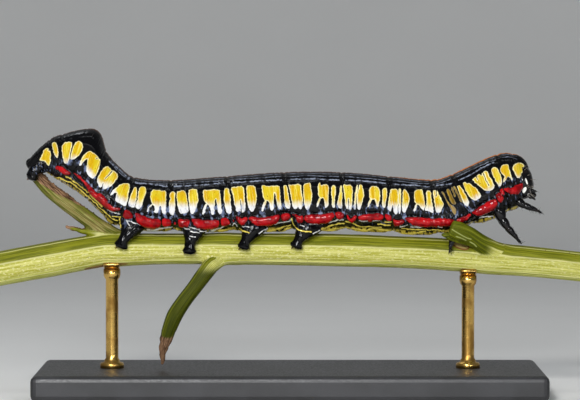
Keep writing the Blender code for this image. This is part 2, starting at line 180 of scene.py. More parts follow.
# Thoracic legs on the right side, joint by joint: X, Y, Z and radius
LEG_JOINTS = {
    "leg_t1": (
        (19.10, -0.75, 17.55, 0.66),
        (19.62, -1.02, 16.78, 0.42),
        (20.28, -1.20, 16.36, 0.30),
        (20.90, -1.18, 16.12, 0.24),
        (21.42, -1.10, 15.94, 0.15),
        (21.84, -1.00, 15.72, 0.03),
    ),
    "leg_t2": (
        (17.95, -0.85, 16.30, 0.66),
        (18.36, -1.10, 15.22, 0.44),
        (18.86, -1.20, 14.46, 0.31),
        (19.34, -1.15, 13.90, 0.25),
        (19.70, -1.08, 13.50, 0.15),
        (20.08, -1.00, 13.08, 0.03),
    ),
    "leg_t3": (
        (14.85, -1.10, 14.95, 0.64),
        (14.46, -1.58, 14.12, 0.46),
        (14.10, -1.88, 13.48, 0.34),
        (13.92, -1.98, 13.02, 0.22),
        (13.84, -1.97, 12.74, 0.14),
        (13.78, -1.92, 12.28, 0.03),
    ),
}

# Sections of legs and feelers: rings, share of the joints' radii at their ends, waist and swelling
LIMB_RINGS = 14
LIMB_START = 0.86
LIMB_END = 1.04
LIMB_WAIST = 0.60
LIMB_SWELL = 0.50
LIMB_SWELL_RUN = (0.12, 0.76)
LIMB_SWELL_POWER = 0.8
LIMB_BEND = 0.06
LIMB_DEPTH = 0.94

# Head, in its own axes: forward, to the left and up from the middle of the body's front end
HEAD_LOBES = (
    (0.05, 0.60, -0.30, 0.95, 1.02, 1.52),
    (0.05, -0.60, -0.30, 0.95, 1.02, 1.52),
    (0.28, 0.0, -0.60, 0.78, 0.75, 1.00),
    (0.78, 0.0, -1.28, 0.30, 0.52, 0.26),
)
HEAD_SHIFT = (-0.12, -0.02)
# Grooves of the face: distance from its middle line and height
FACE_GROOVES = (
    ((0.0, 1.7), (0.0, 0.45)),
    ((0.0, 0.45), (0.42, -0.95)),
    ((0.0, 0.75), (0.62, -0.95)),
    ((0.0, -1.02), (0.55, -1.02)),
)
# The mouth: lip and under lip, then jaws, feelers and spinneret, each with its radii or radius
LIPS = (
    (0.98, 0.0, -1.40, 0.14, 0.36, 0.16),
    (0.70, 0.0, -1.72, 0.26, 0.26, 0.20),
)
JAWS = (
    (0.92, 0.25, -1.60, 0.24, 0.24, 0.21),
    (0.62, 0.48, -1.62, 0.26, 0.20, 0.22),
)
PALP = ((0.78, 0.46, -1.74, 0.12), (0.90, 0.50, -1.90, 0.10), (0.98, 0.50, -2.02, 0.04))
SPINNERET = ((0.84, 0.0, -1.80, 0.08), (0.98, 0.0, -2.00, 0.03))
# The eyes stand in a bow, in degrees: how far forward it turns, how much it bows, its top and step
EYE_RADIUS = 0.12
EYES_PER_SIDE = 6
EYE_TURN = 28
EYE_BOW = 16
EYE_TOP = -20
EYE_STEP = 8.5
ANTENNA_JOINTS = (
    (0.50, 0.86, -1.05, 0.24),
    (0.72, 0.95, -1.20, 0.19),
    (0.92, 1.00, -1.27, 0.14),
    (1.12, 1.03, -1.30, 0.06),
)

# Bristles and hooks: how many, how long and how thick
CLAW = (0.42, 0.11)
CROCHET = (0.20, 0.035)
CROCHETS_PER_FOOT = 13
CROCHET_MARGIN = 3.5
CLAW_DROOP = 0.35
BRISTLE_DROOP = 0.12
LEG_BRISTLES = 5
LEG_BRISTLE_RADIUS = 0.02
ANTENNA_BRISTLE = (0.28, 0.02)
HEAD_BRISTLES = 26
HEAD_BRISTLE = (0.55, 0.014)
BODY_BRISTLE = (0.5, 0.013)
# Body bristles of each segment: share of its length and degrees up from the side
BODY_BRISTLE_SPOTS = ((0.30, 62), (0.62, 48), (0.45, 18), (0.55, -24), (0.36, -46), (0.6, -58))

# The stem's middle line in side view: X, Z and radius
STEM_LINE = (
    (-25.75, 10.77, 1.48),
    (-20.88, 11.66, 1.50),
    (-16.53, 12.44, 1.43),
    (-14.79, 12.52, 1.39),
    (-10.35, 12.58, 1.33),
    (-4.87, 12.56, 1.35),
    (0.17, 12.52, 1.39),
    (4.87, 12.43, 1.41),
    (9.57, 12.28, 1.37),
    (13.05, 12.11, 1.39),
    (16.53, 11.85, 1.37),
    (21.75, 11.38, 1.30),
    (25.75, 10.97, 1.27),
)
# Side shoots of the stem: X, Y, Z, half width across the view and half depth
SHOOT_LINES = {
    "stump": (
        (-14.60, 0.0, 13.20, 0.95, 0.88),
        (-16.27, 0.0, 14.22, 0.75, 0.72),
        (-18.10, 0.0, 15.56, 0.70, 0.68),
        (-19.53, 0.0, 16.61, 0.68, 0.66),
        (-20.88, 0.0, 17.70, 0.64, 0.62),
        (-21.75, 0.0, 18.58, 0.56, 0.56),
        (-22.12, 0.0, 19.00, 0.50, 0.52),
    ),
    "twig": (
        (-4.60, 0.00, 12.70, 0.50, 0.50),
        (-5.40, -0.22, 12.40, 0.78, 0.56),
        (-6.02, -0.50, 11.98, 0.84, 0.60),
        (-6.50, -0.86, 11.50, 0.80, 0.64),
        (-6.95, -1.25, 11.10, 0.74, 0.66),
        (-8.18, -1.40, 9.43, 0.66, 0.62),
        (-9.31, -1.40, 7.95, 0.66, 0.60),
        (-10.09, -1.35, 6.65, 0.68, 0.60),
        (-10.70, -1.25, 4.99, 0.56, 0.50),
        (-11.05, -1.20, 3.70, 0.32, 0.30),
        (-11.05, -1.20, 2.66, 0.10, 0.10),
    ),
    "leaf": (
        (20.60, 0.05, 11.62, 0.45, 0.45),
        (19.30, -0.15, 11.90, 0.80, 0.80),
        (18.20, -0.48, 12.22, 0.94, 0.84),
        (17.30, -0.95, 12.66, 0.88, 0.66),
        (16.50, -1.50, 13.12, 0.80, 0.48),
        (15.35, -2.30, 13.94, 0.74, 0.36),
        (14.50, -2.78, 14.28, 0.80, 0.32),
        (13.86, -3.04, 14.50, 0.70, 0.26),
    ),
    "tongue": (
        (16.00, -1.60, 13.10, 0.42, 0.34),
        (15.10, -2.00, 13.42, 0.44, 0.26),
        (14.20, -2.30, 13.66, 0.38, 0.20),
        (13.50, -2.44, 13.86, 0.24, 0.16),
        (13.08, -2.50, 13.96, 0.10, 0.10),
    ),
    "bract": (
        (-16.00, -0.20, 13.95, 0.50, 0.55),
        (-16.70, -0.25, 14.02, 0.36, 0.52),
        (-17.70, -0.30, 14.10, 0.26, 0.46),
        (-18.60, -0.32, 14.30, 0.19, 0.34),
        (-19.50, -0.34, 14.52, 0.08, 0.12),
    ),
}

# Sharper ridges along the stem, in degrees up from its side, and swellings at its nodes: X and reach
STEM_RIDGES = (62.0, 16.0, -47.0)
STEM_NODES = ((-14.6, 1.4), (-5.6, 1.3), (17.2, 1.5))
# Corners between the stem and its shoots are filled over this share of a radius
CORNER_SHOOTS = ("stump", "twig", "leaf")
CORNER_REACH = 0.42
CORNER_ROUNDS = 110
CORNER_PULL = 0.6
# Lengths at which the shoots start, so that the finish can tell them from the stem
TWIG_START = 60
STUMP_START = 90
LEAF_START = 120
SHOOT_STARTS = {"stump": STUMP_START, "twig": TWIG_START, "leaf": LEAF_START}
STEM_RADIUS = 1.4

# Bars of the right side, each an outline drawn in the photograph's pixels
BARS = {
    "a10": ((39.7, 159.8), (42.2, 153.7), (45.3, 148.5), (48.9, 148.2), (48.3, 151.0), (50.2, 150.6),
            (51.0, 154.4), (50.2, 157.5), (51.0, 160.6), (49.5, 165.2), (48.5, 166.3), (46.0, 162.9),
            (44.3, 161.3), (40.1, 160.7)),
    "a9": ((52.1, 143.7), (54.1, 142.0), (56.0, 142.6), (57.9, 146.0), (58.3, 153.7), (58.6, 156.7),
           (57.3, 158.1), (55.2, 156.0), (52.9, 149.8)),
    "a8_1": ((61.7, 146.8), (64.0, 143.0), (67.4, 141.8), (71.3, 142.2), (72.2, 144.5), (70.5, 152.1),
             (68.6, 162.9), (66.3, 164.0), (63.8, 162.9), (63.0, 156.7), (61.9, 151.4)),
    "a8_2": ((72.8, 148.3), (74.7, 143.0), (77.4, 141.3), (80.5, 141.4), (82.8, 143.7), (82.9, 148.3),
             (80.5, 153.7), (75.9, 158.3), (71.3, 160.0), (70.1, 158.3), (71.3, 153.7)),
    "a8_3": ((79.5, 165.9), (79.3, 162.9), (82.0, 158.3), (85.0, 153.7), (89.3, 150.6), (91.9, 152.1),
             (96.5, 155.2), (100.0, 159.8), (100.4, 162.9), (98.8, 169.0), (96.5, 175.1), (93.1, 178.9),
             (90.0, 177.4), (86.6, 172.8), (86.2, 167.4), (87.3, 162.9), (87.7, 159.8), (86.6, 158.6),
             (84.3, 160.6), (82.4, 163.6), (80.8, 165.9)),
    "a7_1": ((96.9, 180.5), (98.4, 175.9), (102.7, 169.0), (106.5, 165.9), (109.5, 167.4), (111.8, 170.5),
             (114.9, 171.3), (117.6, 174.3), (118.0, 177.4), (114.9, 182.0), (110.3, 186.6), (104.2, 189.6),
             (102.3, 188.1), (103.8, 181.0), (101.7, 186.5), (100.4, 187.3), (98.1, 185.0)),
    "a7_2": ((110.2, 194.2), (113.0, 190.0), (116.4, 188.1), (120.3, 184.3), (124.1, 183.1), (128.7, 183.9),
             (130.0, 185.8), (129.4, 189.6), (127.9, 195.0), (128.1, 199.6), (126.8, 204.2), (124.5, 206.5),
             (120.3, 203.4), (115.3, 201.1), (116.0, 195.8), (117.2, 192.7), (114.9, 192.3), (111.8, 195.4),
             (110.3, 195.4)),
    "a7_3": ((135.6, 186.8), (137.1, 189.0), (136.6, 196.6), (135.2, 205.0), (133.7, 208.3), (128.3, 205.8),
             (129.1, 199.7), (131.8, 192.8), (133.7, 188.2)),
    "a6_1": ((139.8, 187.4), (142.9, 186.3), (145.9, 187.4), (146.3, 192.8), (143.6, 198.9), (141.7, 205.8),
             (139.0, 209.3), (136.0, 208.5), (135.6, 205.0), (137.9, 198.2), (138.3, 192.0)),
    "a6_2": ((151.3, 190.5), (155.1, 189.4), (161.2, 190.7), (165.4, 190.5), (166.2, 192.8), (166.0, 201.2),
             (165.8, 208.9), (166.0, 213.9), (163.9, 214.6), (162.0, 212.7), (161.2, 206.6), (159.3, 205.8),
             (158.9, 211.2), (157.0, 213.5), (152.8, 211.6), (155.1, 210.8), (154.7, 205.8), (152.0, 204.7),
             (150.1, 198.2)),
    "a6_3": ((147.1, 212.3), (147.4, 208.9), (150.1, 205.0), (152.4, 203.8), (151.7, 206.4), (149.0, 210.8)),
    "a5_1": ((170.4, 192.0), (174.6, 191.4), (175.4, 195.1), (175.0, 201.2), (175.2, 208.9), (173.8, 215.4),
             (171.2, 215.4), (168.9, 211.2), (169.3, 200.5), (170.8, 199.1), (169.3, 196.6)),
    "a5_2": ((176.5, 191.7), (180.4, 190.9), (184.9, 190.1), (186.5, 196.6), (188.0, 204.3), (188.4, 212.7),
             (184.2, 213.5), (180.0, 213.9), (178.1, 207.3), (176.9, 199.7)),
    "a5_3": ((188.0, 190.5), (191.8, 189.0), (196.4, 189.0), (197.6, 193.6), (198.3, 201.2), (196.8, 205.0),
             (195.3, 211.2), (192.2, 215.0), (190.3, 211.9), (189.1, 204.3)),
    "a5_4": ((202.7, 191.3), (204.6, 189.7), (219.5, 189.4), (220.0, 193.6), (221.0, 204.3), (222.6, 213.5),
             (218.4, 214.2), (217.2, 205.8), (216.5, 199.7), (215.3, 198.5), (214.5, 205.8), (214.2, 213.5),
             (212.6, 215.0), (210.7, 213.5), (209.9, 205.8), (206.1, 203.5), (203.4, 199.7)),
    "a5_5": ((202.3, 214.2), (202.7, 210.4), (205.2, 204.4), (207.4, 203.6), (206.5, 207.5), (204.2, 214.6)),
    "a4_1": ((224.1, 188.6), (226.8, 187.8), (229.1, 189.0), (228.9, 192.0), (230.6, 196.6), (230.6, 205.0),
             (231.8, 211.9), (230.2, 213.8), (226.8, 213.1), (224.9, 207.3), (223.6, 198.2)),
    "a4_2": ((230.6, 187.4), (236.0, 186.8), (243.6, 185.9), (244.4, 195.1), (245.5, 205.0), (245.1, 211.9),
             (241.3, 212.3), (239.8, 210.4), (236.7, 212.3), (234.8, 205.0), (232.9, 195.1)),
    "a4_3": ((246.3, 185.9), (249.7, 185.3), (254.7, 185.5), (255.9, 190.5), (256.8, 196.6), (255.9, 204.3),
             (253.6, 210.4), (251.7, 212.3), (249.0, 208.9), (247.1, 200.5), (246.7, 192.8)),
    "a4_4": ((261.2, 185.9), (263.5, 184.8), (265.8, 185.9), (272.7, 185.9), (279.2, 185.3), (280.0, 192.0),
             (280.7, 201.2), (281.9, 208.9), (278.8, 209.6), (276.9, 202.8), (275.4, 194.3), (274.2, 192.8),
             (273.5, 199.7), (274.1, 207.3), (272.3, 211.2), (270.0, 208.9), (269.6, 202.8), (267.7, 200.8),
             (265.0, 201.2), (262.4, 195.1)),
    "a4_5": ((261.2, 210.8), (261.8, 207.3), (264.6, 200.4), (266.8, 200.6), (263.9, 208.1), (262.7, 211.6)),
    "a3_1": ((283.0, 185.9), (286.9, 185.2), (287.6, 189.0), (289.2, 198.2), (290.7, 207.3), (288.8, 209.3),
             (285.3, 207.3), (284.2, 199.7), (284.0, 192.0)),
    "a3_2": ((288.4, 183.6), (289.9, 185.2), (301.0, 184.0), (301.4, 190.5), (302.7, 198.2), (302.5, 208.9),
             (299.5, 209.3), (298.0, 205.8), (296.8, 208.9), (293.0, 208.5), (291.8, 201.2), (290.3, 192.8)),
    "a3_3": ((303.5, 184.4), (307.1, 183.2), (310.2, 182.3), (311.3, 189.0), (312.5, 195.1), (311.0, 202.8),
             (309.4, 208.1), (307.1, 210.3), (304.8, 207.3), (303.7, 198.2), (303.3, 190.5)),
    "a3_4": ((317.8, 185.2), (319.7, 182.1), (321.4, 185.9), (323.3, 184.4), (327.9, 184.4), (328.9, 187.4),
             (328.3, 198.2), (328.7, 204.3), (326.4, 208.1), (324.5, 207.3), (324.5, 200.5), (323.0, 197.8),
             (320.3, 198.9), (318.0, 194.3)),
    "a3_5": ((316.5, 207.3), (317.2, 202.8), (318.6, 198.2), (320.6, 198.2), (319.1, 203.5), (318.0, 207.0)),
    "a2_1": ((331.0, 186.7), (333.7, 184.8), (335.8, 185.9), (335.8, 193.6), (334.4, 201.2), (335.2, 207.0),
             (333.7, 207.7), (331.8, 205.8), (332.1, 198.2), (331.0, 192.8)),
    "a2_2": ((340.2, 185.2), (341.7, 185.9), (342.5, 195.1), (341.9, 203.5), (342.1, 207.3), (340.6, 208.9),
             (337.5, 206.6), (337.5, 201.2), (339.4, 193.6)),
    "a2_3": ((343.0, 184.4), (345.9, 185.2), (352.4, 184.8), (352.8, 193.6), (352.0, 205.0), (351.7, 210.0),
             (349.0, 209.3), (345.9, 208.5), (344.8, 198.2), (343.6, 190.5)),
    "a2_4": ((356.6, 184.4), (358.2, 185.1), (357.2, 193.4), (355.9, 200.4), (355.8, 209.3), (354.3, 209.6),
             (354.0, 204.2), (355.0, 194.0)),
    "a2_5": ((359.1, 185.1), (361.4, 184.1), (362.8, 188.3), (363.9, 194.0), (363.3, 198.5), (362.0, 204.2),
             (360.4, 209.3), (358.5, 209.9), (357.2, 207.4), (356.7, 201.0), (357.5, 194.0)),
    "a2_6": ((369.3, 188.3), (371.6, 186.0), (373.5, 186.4), (375.7, 186.0), (378.6, 187.6), (379.9, 190.8),
             (380.2, 197.2), (379.0, 202.9), (378.3, 207.7), (376.4, 206.8), (375.6, 201.0), (374.4, 199.1),
             (372.2, 199.4), (370.0, 199.1), (369.0, 194.6)),
    "a2_7": ((367.1, 207.4), (368.4, 202.9), (370.4, 198.2), (372.4, 198.6), (370.2, 204.2), (368.4, 206.8)),
    "a1_1": ((382.6, 189.5), (384.6, 187.8), (386.7, 188.6), (387.1, 195.9), (386.0, 202.3), (385.3, 207.7),
             (383.4, 208.0), (381.8, 204.8), (382.6, 198.5), (382.1, 193.4)),
    "a1_2": ((390.4, 189.2), (392.6, 189.2), (396.1, 188.9), (397.7, 190.8), (398.4, 197.2), (398.0, 204.2),
             (397.7, 213.8), (395.5, 214.7), (393.6, 212.5), (392.9, 204.8), (392.0, 204.8), (391.3, 211.2),
             (388.5, 210.6), (387.5, 207.4), (389.1, 198.5), (390.1, 193.4)),
    "a1_3": ((398.7, 189.5), (400.3, 188.3), (401.1, 190.8), (400.9, 198.5), (400.9, 207.4), (400.3, 213.8),
             (398.7, 213.8), (398.5, 204.8), (398.5, 197.2)),
    "a1_4": ((402.8, 190.8), (404.7, 188.9), (406.6, 190.8), (408.6, 194.6), (409.8, 198.5), (408.6, 204.2),
             (407.0, 208.7), (405.1, 212.8), (402.8, 212.2), (402.0, 207.4), (402.4, 198.5)),
    "a1_5": ((414.3, 192.1), (416.5, 189.5), (422.0, 189.5), (422.9, 191.5), (423.9, 198.5), (424.8, 204.8),
             (425.5, 206.1), (423.5, 211.2), (421.6, 208.7), (419.1, 204.8), (416.8, 204.2), (414.6, 202.3),
             (414.0, 197.2)),
    "a1_6": ((413.3, 211.5), (414.3, 207.4), (415.9, 203.8), (417.4, 203.8), (416.2, 208.7), (415.3, 211.2)),
    "a1_7": ((426.1, 190.8), (428.3, 190.2), (430.6, 190.8), (431.2, 198.5), (432.5, 205.5), (433.8, 213.1),
             (431.2, 212.5), (428.0, 210.6), (425.1, 211.2), (425.5, 206.8), (426.7, 204.2), (426.4, 197.2)),
    "t3_1": ((432.9, 191.0), (434.8, 189.8), (435.7, 191.0), (437.6, 191.0), (439.6, 195.5), (442.1, 200.6),
             (443.7, 204.4), (442.4, 207.6), (440.8, 212.1), (437.6, 213.4), (435.7, 211.5), (434.8, 205.1),
             (433.8, 198.7)),
    "t3_4": ((456.8, 185.9), (459.3, 185.2), (461.2, 187.2), (465.1, 193.6), (468.9, 200.6), (468.9, 204.4),
             (467.0, 206.7), (464.4, 205.1), (461.2, 197.4), (458.1, 190.4)),
    "t2_1": ((462.8, 182.7), (465.1, 182.1), (466.7, 184.0), (468.9, 182.7), (472.1, 185.3), (476.7, 188.4),
             (481.6, 195.4), (479.8, 198.2), (475.6, 201.1), (471.5, 198.7), (468.3, 194.9), (464.4, 188.5)),
    "t2_2": ((472.1, 180.0), (474.2, 177.9), (476.3, 176.1), (479.5, 173.7), (481.6, 176.5), (482.3, 172.3),
             (486.8, 170.5), (488.9, 175.1), (492.5, 181.4), (494.9, 186.7), (491.8, 190.5), (486.1, 190.9),
             (481.9, 188.4), (477.0, 184.2)),
    "t1_1": ((491.1, 169.5), (493.2, 167.0), (496.7, 167.4), (499.5, 172.3), (501.9, 179.3), (501.9, 183.5),
             (499.8, 187.0), (497.7, 184.9), (495.6, 180.7), (492.5, 174.4)),
    "t1_2": ((500.2, 168.1), (502.3, 164.9), (508.2, 163.9), (509.3, 169.5), (510.7, 175.1), (513.2, 180.7),
             (511.8, 180.4), (509.3, 176.8), (507.2, 177.9), (503.7, 182.9), (503.3, 180.7), (505.1, 176.5),
             (502.3, 174.4), (500.5, 170.9)),
    "t1_3": ((512.8, 166.0), (515.6, 163.2), (520.5, 162.8), (523.7, 164.2), (524.0, 169.5), (521.2, 173.7),
             (520.9, 176.5), (517.7, 178.2), (516.0, 176.5), (514.9, 173.0), (512.5, 169.5)),
}
# Bars in the fold behind the raised front of the body, with painted shade: the fold's shadow is painted in as
# a dull, dark ochre
SHADED_FOLD_BARS = {
    "t3_2": ((440.8, 191.4), (444.0, 193.0), (445.9, 198.7), (449.1, 203.2), (454.2, 207.0), (456.5, 210.2),
             (455.2, 215.9), (453.0, 212.7), (449.8, 207.0), (445.9, 200.6), (443.4, 194.9)),
    "t3_3": ((445.9, 189.8), (449.1, 188.5), (451.0, 193.6), (453.6, 198.7), (456.1, 203.8), (454.2, 205.1),
             (450.4, 201.2), (448.2, 194.9)),
}
SHADED_FOLD_LINES = (
    ((452.0, 187.8), (454.9, 196.1)),
    ((454.2, 187.2), (461.2, 201.2)),
)
# Black slits and dots inside the bars
SLITS = (
    ((111.8, 171.3), (105.7, 178.2)),
    ((436.4, 190.0), (436.2, 196.2)),
    ((483.0, 172.7), (485.5, 179.0), (488.9, 186.0)),
    ((476.0, 176.0), (477.6, 179.6)),
    ((96.3, 158.3), (96.8, 158.4)),
    ((240.6, 200.0), (241.4, 212.5)),
    ((348.3, 199.0), (348.6, 210.0)),
)

# Red pieces of the stripe low on the side
RED_PIECES = {
    "rear_1": ((56.4, 166.3), (58.3, 165.9), (63.6, 167.4), (64.4, 169.7), (70.9, 173.6), (69.0, 175.1),
               (65.2, 173.6), (56.7, 169.0)),
    "rear_2": ((73.2, 171.7), (78.9, 174.3), (83.5, 178.2), (87.3, 183.5), (92.7, 189.6), (98.1, 194.2),
               (101.1, 194.2), (104.9, 198.1), (109.5, 203.4), (114.1, 207.2), (120.3, 208.8), (119.5, 209.9),
               (113.4, 209.9), (107.2, 207.2), (101.9, 201.9), (96.5, 196.5), (91.2, 192.7), (86.6, 185.8),
               (80.5, 180.5), (75.1, 175.9)),
    "a6_1": ((123.3, 214.1), (124.5, 210.3), (128.7, 211.1), (132.5, 214.9), (132.9, 217.2), (127.1, 217.6)),
    "a6_2": ((134.0, 213.8), (138.0, 213.0), (141.0, 215.5), (146.0, 217.5), (153.0, 219.0), (160.4, 218.5),
             (161.2, 224.5), (157.0, 226.0), (152.8, 227.0), (147.0, 226.3), (142.8, 224.9), (137.0, 220.5)),
    "a6_3": ((162.0, 218.3), (168.0, 219.0), (172.0, 221.2), (170.5, 224.5), (162.3, 225.0)),
    "a5_1": ((177.5, 221.5), (179.5, 218.7), (184.0, 220.0), (188.0, 219.0), (190.0, 221.0), (190.3, 225.0),
             (186.0, 225.8), (180.0, 225.0)),
    "a5_2": ((191.5, 218.2), (196.0, 218.5), (203.0, 220.0), (211.0, 220.2), (219.3, 219.7), (219.2, 225.0),
             (213.0, 227.0), (205.0, 227.7), (198.0, 226.8), (192.0, 224.0)),
    "a5_3": ((220.7, 218.6), (226.0, 217.7), (230.4, 221.0), (229.5, 223.5), (221.0, 225.0)),
    "a4_1": ((235.6, 216.5), (238.0, 216.0), (242.0, 219.0), (247.0, 217.0), (248.2, 221.0), (244.0, 224.0),
             (240.0, 223.5)),
    "a4_2": ((248.8, 216.8), (255.0, 217.5), (262.0, 218.3), (269.0, 217.5), (276.0, 215.5), (279.5, 214.6),
             (280.0, 219.2), (274.0, 222.5), (266.0, 224.2), (258.0, 224.0), (249.0, 221.5)),
    "a4_3": ((280.9, 214.0), (289.0, 213.8), (290.7, 216.5), (289.5, 218.0), (281.0, 220.3)),
    "a3_1": ((293.7, 214.6), (296.0, 214.8), (299.0, 217.0), (303.0, 215.5), (303.7, 220.0), (300.5, 222.2),
             (296.5, 219.5)),
    "a3_2": ((303.8, 215.4), (311.5, 215.0), (317.6, 215.4), (325.3, 214.6), (332.1, 213.1), (334.4, 214.2),
             (334.8, 216.5), (330.6, 219.6), (323.0, 221.9), (313.8, 222.3), (304.6, 221.1)),
    "a3_3": ((334.8, 212.7), (339.8, 212.3), (344.0, 215.0), (342.9, 217.3), (338.3, 218.8), (335.6, 216.5)),
    "a2_1": ((345.9, 214.6), (349.0, 216.5), (351.0, 219.0), (353.6, 216.5), (355.1, 215.4), (357.4, 216.5),
             (353.6, 220.7), (349.7, 220.4), (346.7, 217.3)),
    "a2_2": ((358.2, 216.5), (365.0, 215.0), (373.5, 214.2), (378.8, 213.5), (383.4, 215.8), (383.0, 218.8),
             (376.5, 218.8), (368.9, 219.6), (361.2, 218.8), (358.2, 218.1)),
    "a2_3": ((384.2, 215.0), (388.0, 214.6), (391.4, 218.1), (390.3, 220.4), (385.7, 218.8)),
    "a1_1": ((392.6, 218.1), (394.9, 220.4), (399.5, 220.4), (403.3, 219.6), (404.8, 221.1), (399.5, 224.2),
             (395.7, 224.2), (393.0, 221.1)),
    "a1_2": ((403.8, 219.1), (407.7, 217.5), (421.1, 217.8), (425.5, 219.1), (433.2, 219.1), (438.3, 218.8),
             (444.7, 219.1), (454.2, 219.1), (454.5, 223.3), (449.8, 223.9), (438.3, 224.5), (425.5, 224.8),
             (414.0, 224.2), (409.6, 222.3)),
    "t3_1": ((455.5, 219.0), (463.0, 217.0), (470.2, 213.4), (471.5, 215.0), (464.0, 219.6), (456.0, 223.0)),
    "t2_1": ((471.4, 213.0), (474.2, 210.9), (482.6, 205.3), (490.4, 201.1), (496.0, 199.6), (496.7, 201.8),
             (495.3, 206.0), (487.5, 210.9), (480.5, 213.7), (474.9, 214.0)),
    "t2_2": ((496.0, 194.4), (500.2, 192.6), (502.3, 195.4), (500.9, 199.6), (498.8, 201.8), (496.7, 198.9)),
    "t1_1": ((500.9, 191.6), (502.6, 189.1), (503.7, 193.3), (502.6, 195.1)),
    "t1_2": ((503.3, 189.1), (505.8, 189.1), (512.1, 188.4), (514.9, 186.3), (520.9, 182.5), (521.6, 184.9),
             (520.2, 189.1), (517.7, 193.0), (513.5, 192.3), (510.7, 193.0), (507.2, 191.9), (504.4, 191.6)),
}
# The fold under them stands out sideways: below their middles in pixels, out from the body's middle
# in millimetres, and along the body in segments
SIDE_FOLD = 0.36
SIDE_FOLD_BELOW = (-5.5, 2.5, 2.5, 6.5)
SIDE_FOLD_OUT = (0.4, 1.2)
SIDE_FOLD_ALONG = (1.2, 2.4, 12.3, 12.9)
RED_DOTS = ((175.4, 222.3), (233.7, 220.3), (293.0, 215.4))

# Pale wrinkle lines under the red stripe: white ones and yellow ones
WHITE_LINES = (
    ((101.9, 203.4), (106.5, 208.8), (113.4, 212.6), (120.3, 213.4)),
    ((125.6, 218.7), (129.4, 225.6)),
    ((127.1, 220.3), (140.0, 224.8)),
    ((147.4, 229.2), (153.6, 229.5), (161.2, 228.0), (171.9, 226.9)),
    ((182.0, 226.5), (186.0, 229.0), (190.0, 229.4)),
    ((188.0, 226.2), (193.0, 228.3), (199.0, 229.6)),
    ((191.1, 231.8), (199.5, 233.0)),
    ((190.0, 236.0), (195.5, 237.0)),
    ((232.5, 225.0), (235.0, 222.6), (237.5, 226.0)),
    ((300.5, 225.0), (304.0, 226.4)),
    ((200.0, 231.1), (207.7, 231.1), (219.1, 228.0), (230.6, 224.2)),
    ((242.8, 226.5), (249.0, 227.2)),
    ((256.6, 224.2), (266.6, 225.7)),
    ((258.9, 233.4), (267.3, 228.0)),
    ((268.9, 225.0), (291.1, 220.4)),
    ((309.4, 224.2), (322.2, 223.8)),
    ((313.3, 233.4), (319.4, 230.3)),
    ((329.1, 222.7), (335.2, 220.4), (342.9, 220.0)),
    ((358.9, 220.4), (368.9, 221.5), (379.6, 220.4)),
    ((400.2, 226.5), (407.1, 225.0)),
    ((411.0, 226.9), (422.3, 226.8)),
    ((431.3, 226.1), (442.1, 226.8)),
    ((479.5, 217.4), (486.0, 216.2), (492.8, 215.6)),
    ((490.5, 220.2), (498.5, 219.4)),
)
YELLOW_LINES = (
    ((56.7, 177.4), (62.1, 178.2), (65.9, 181.2), (72.0, 182.0), (78.2, 188.1), (85.8, 194.2), (93.5, 201.1),
     (101.1, 208.8), (108.0, 214.9), (114.1, 219.5), (118.0, 220.3)),
    ((65.9, 176.6), (72.8, 179.7), (85.0, 189.6), (88.9, 193.5), (96.5, 201.1), (101.9, 206.5)),
    ((112.6, 215.7), (120.3, 217.2)),
    ((119.5, 218.7), (121.0, 227.9)),
    ((163.5, 229.9), (174.2, 230.7)),
    ((176.5, 228.0), (183.4, 235.7)),
    ((219.0, 229.5), (230.6, 228.8), (239.8, 231.1)),
    ((239.8, 228.0), (242.8, 231.1), (249.0, 232.6)),
    ((267.3, 229.5), (279.0, 228.0), (290.3, 225.0)),
    ((268.0, 231.0), (280.0, 230.2), (290.3, 227.6)),
    ((291.1, 218.8), (295.7, 228.0), (301.8, 231.4), (311.0, 231.8)),
    ((321.4, 228.8), (330.6, 225.0), (344.4, 222.7)),
    ((321.4, 229.5), (342.9, 227.2), (356.6, 228.0), (364.3, 229.9), (371.9, 228.0)),
    ((345.9, 221.1), (353.6, 223.4), (359.7, 226.5), (370.4, 226.5), (381.2, 227.3)),
    ((378.0, 224.2), (390.4, 225.0)),
    ((385.0, 221.9), (391.0, 222.3)),
    ((373.5, 228.0), (387.2, 229.5), (391.8, 231.1), (399.5, 231.8), (411.0, 232.6), (425.5, 231.2)),
    ((401.8, 228.0), (412.8, 229.3), (426.8, 229.3), (448.5, 230.6)),
    ((482.0, 220.6), (490.0, 220.8)),
    ((485.6, 223.2), (489.4, 226.0)),
)
# Half widths of the painted lines and dots, in pixels, and how far the fine ones waver
WHITE_LINE_HALF = 0.42
YELLOW_LINE_HALF = 0.50
SHADED_FOLD_LINE_HALF = 0.8
RED_DOT_HALF = 0.8
SLIT_HALF = 0.45
VEIN_AND_HIGHLIGHT_HALF = 0.45
LINE_WAVER = 0.32
LINE_WAVER_SIZE = 0.22

# Bluish-grey pinstripe low on the back, and the places of the breathing holes
PINSTRIPE = (
    (109.2, 161.4), (119.1, 169.8), (126.8, 176.7), (133.7, 182.9), (145.9, 183.6), (158.1, 185.1),
    (168.9, 186.7), (184.2, 185.9), (199.5, 185.2), (219.9, 183.6), (242.8, 182.1), (261.2, 180.6),
    (280.4, 180.2), (299.5, 179.0), (312.2, 178.6), (336.7, 180.2), (352.0, 180.2), (368.9, 181.3),
    (387.2, 183.6), (407.9, 185.2), (419.1, 185.3), (425.5, 186.9), (435.7, 185.6), (445.9, 184.7),
    (452.3, 183.4), (461.2, 178.9), (470.2, 175.4), (481.2, 168.1), (493.9, 162.5),
)
PINSTRIPE_HALF = 0.48
PINSTRIPE_GAP = 0.28
# The finer pinstripes above it, in degrees up from the side, start in front of the hump at the tail
UPPER_PINSTRIPES = (68.0, 57.0)
UPPER_HALF = 0.7
UPPER_WAVE = 2.5
UPPER_WAVE_SIZE = 1.4
HUMP_END = 3.2
# Half width of the orange stripe in degrees, and a plain radius and segment to measure the skin by
ORANGE_REACH = 13.0
BODY_RADIUS = 2.35
SEGMENT_LENGTH = 3.6
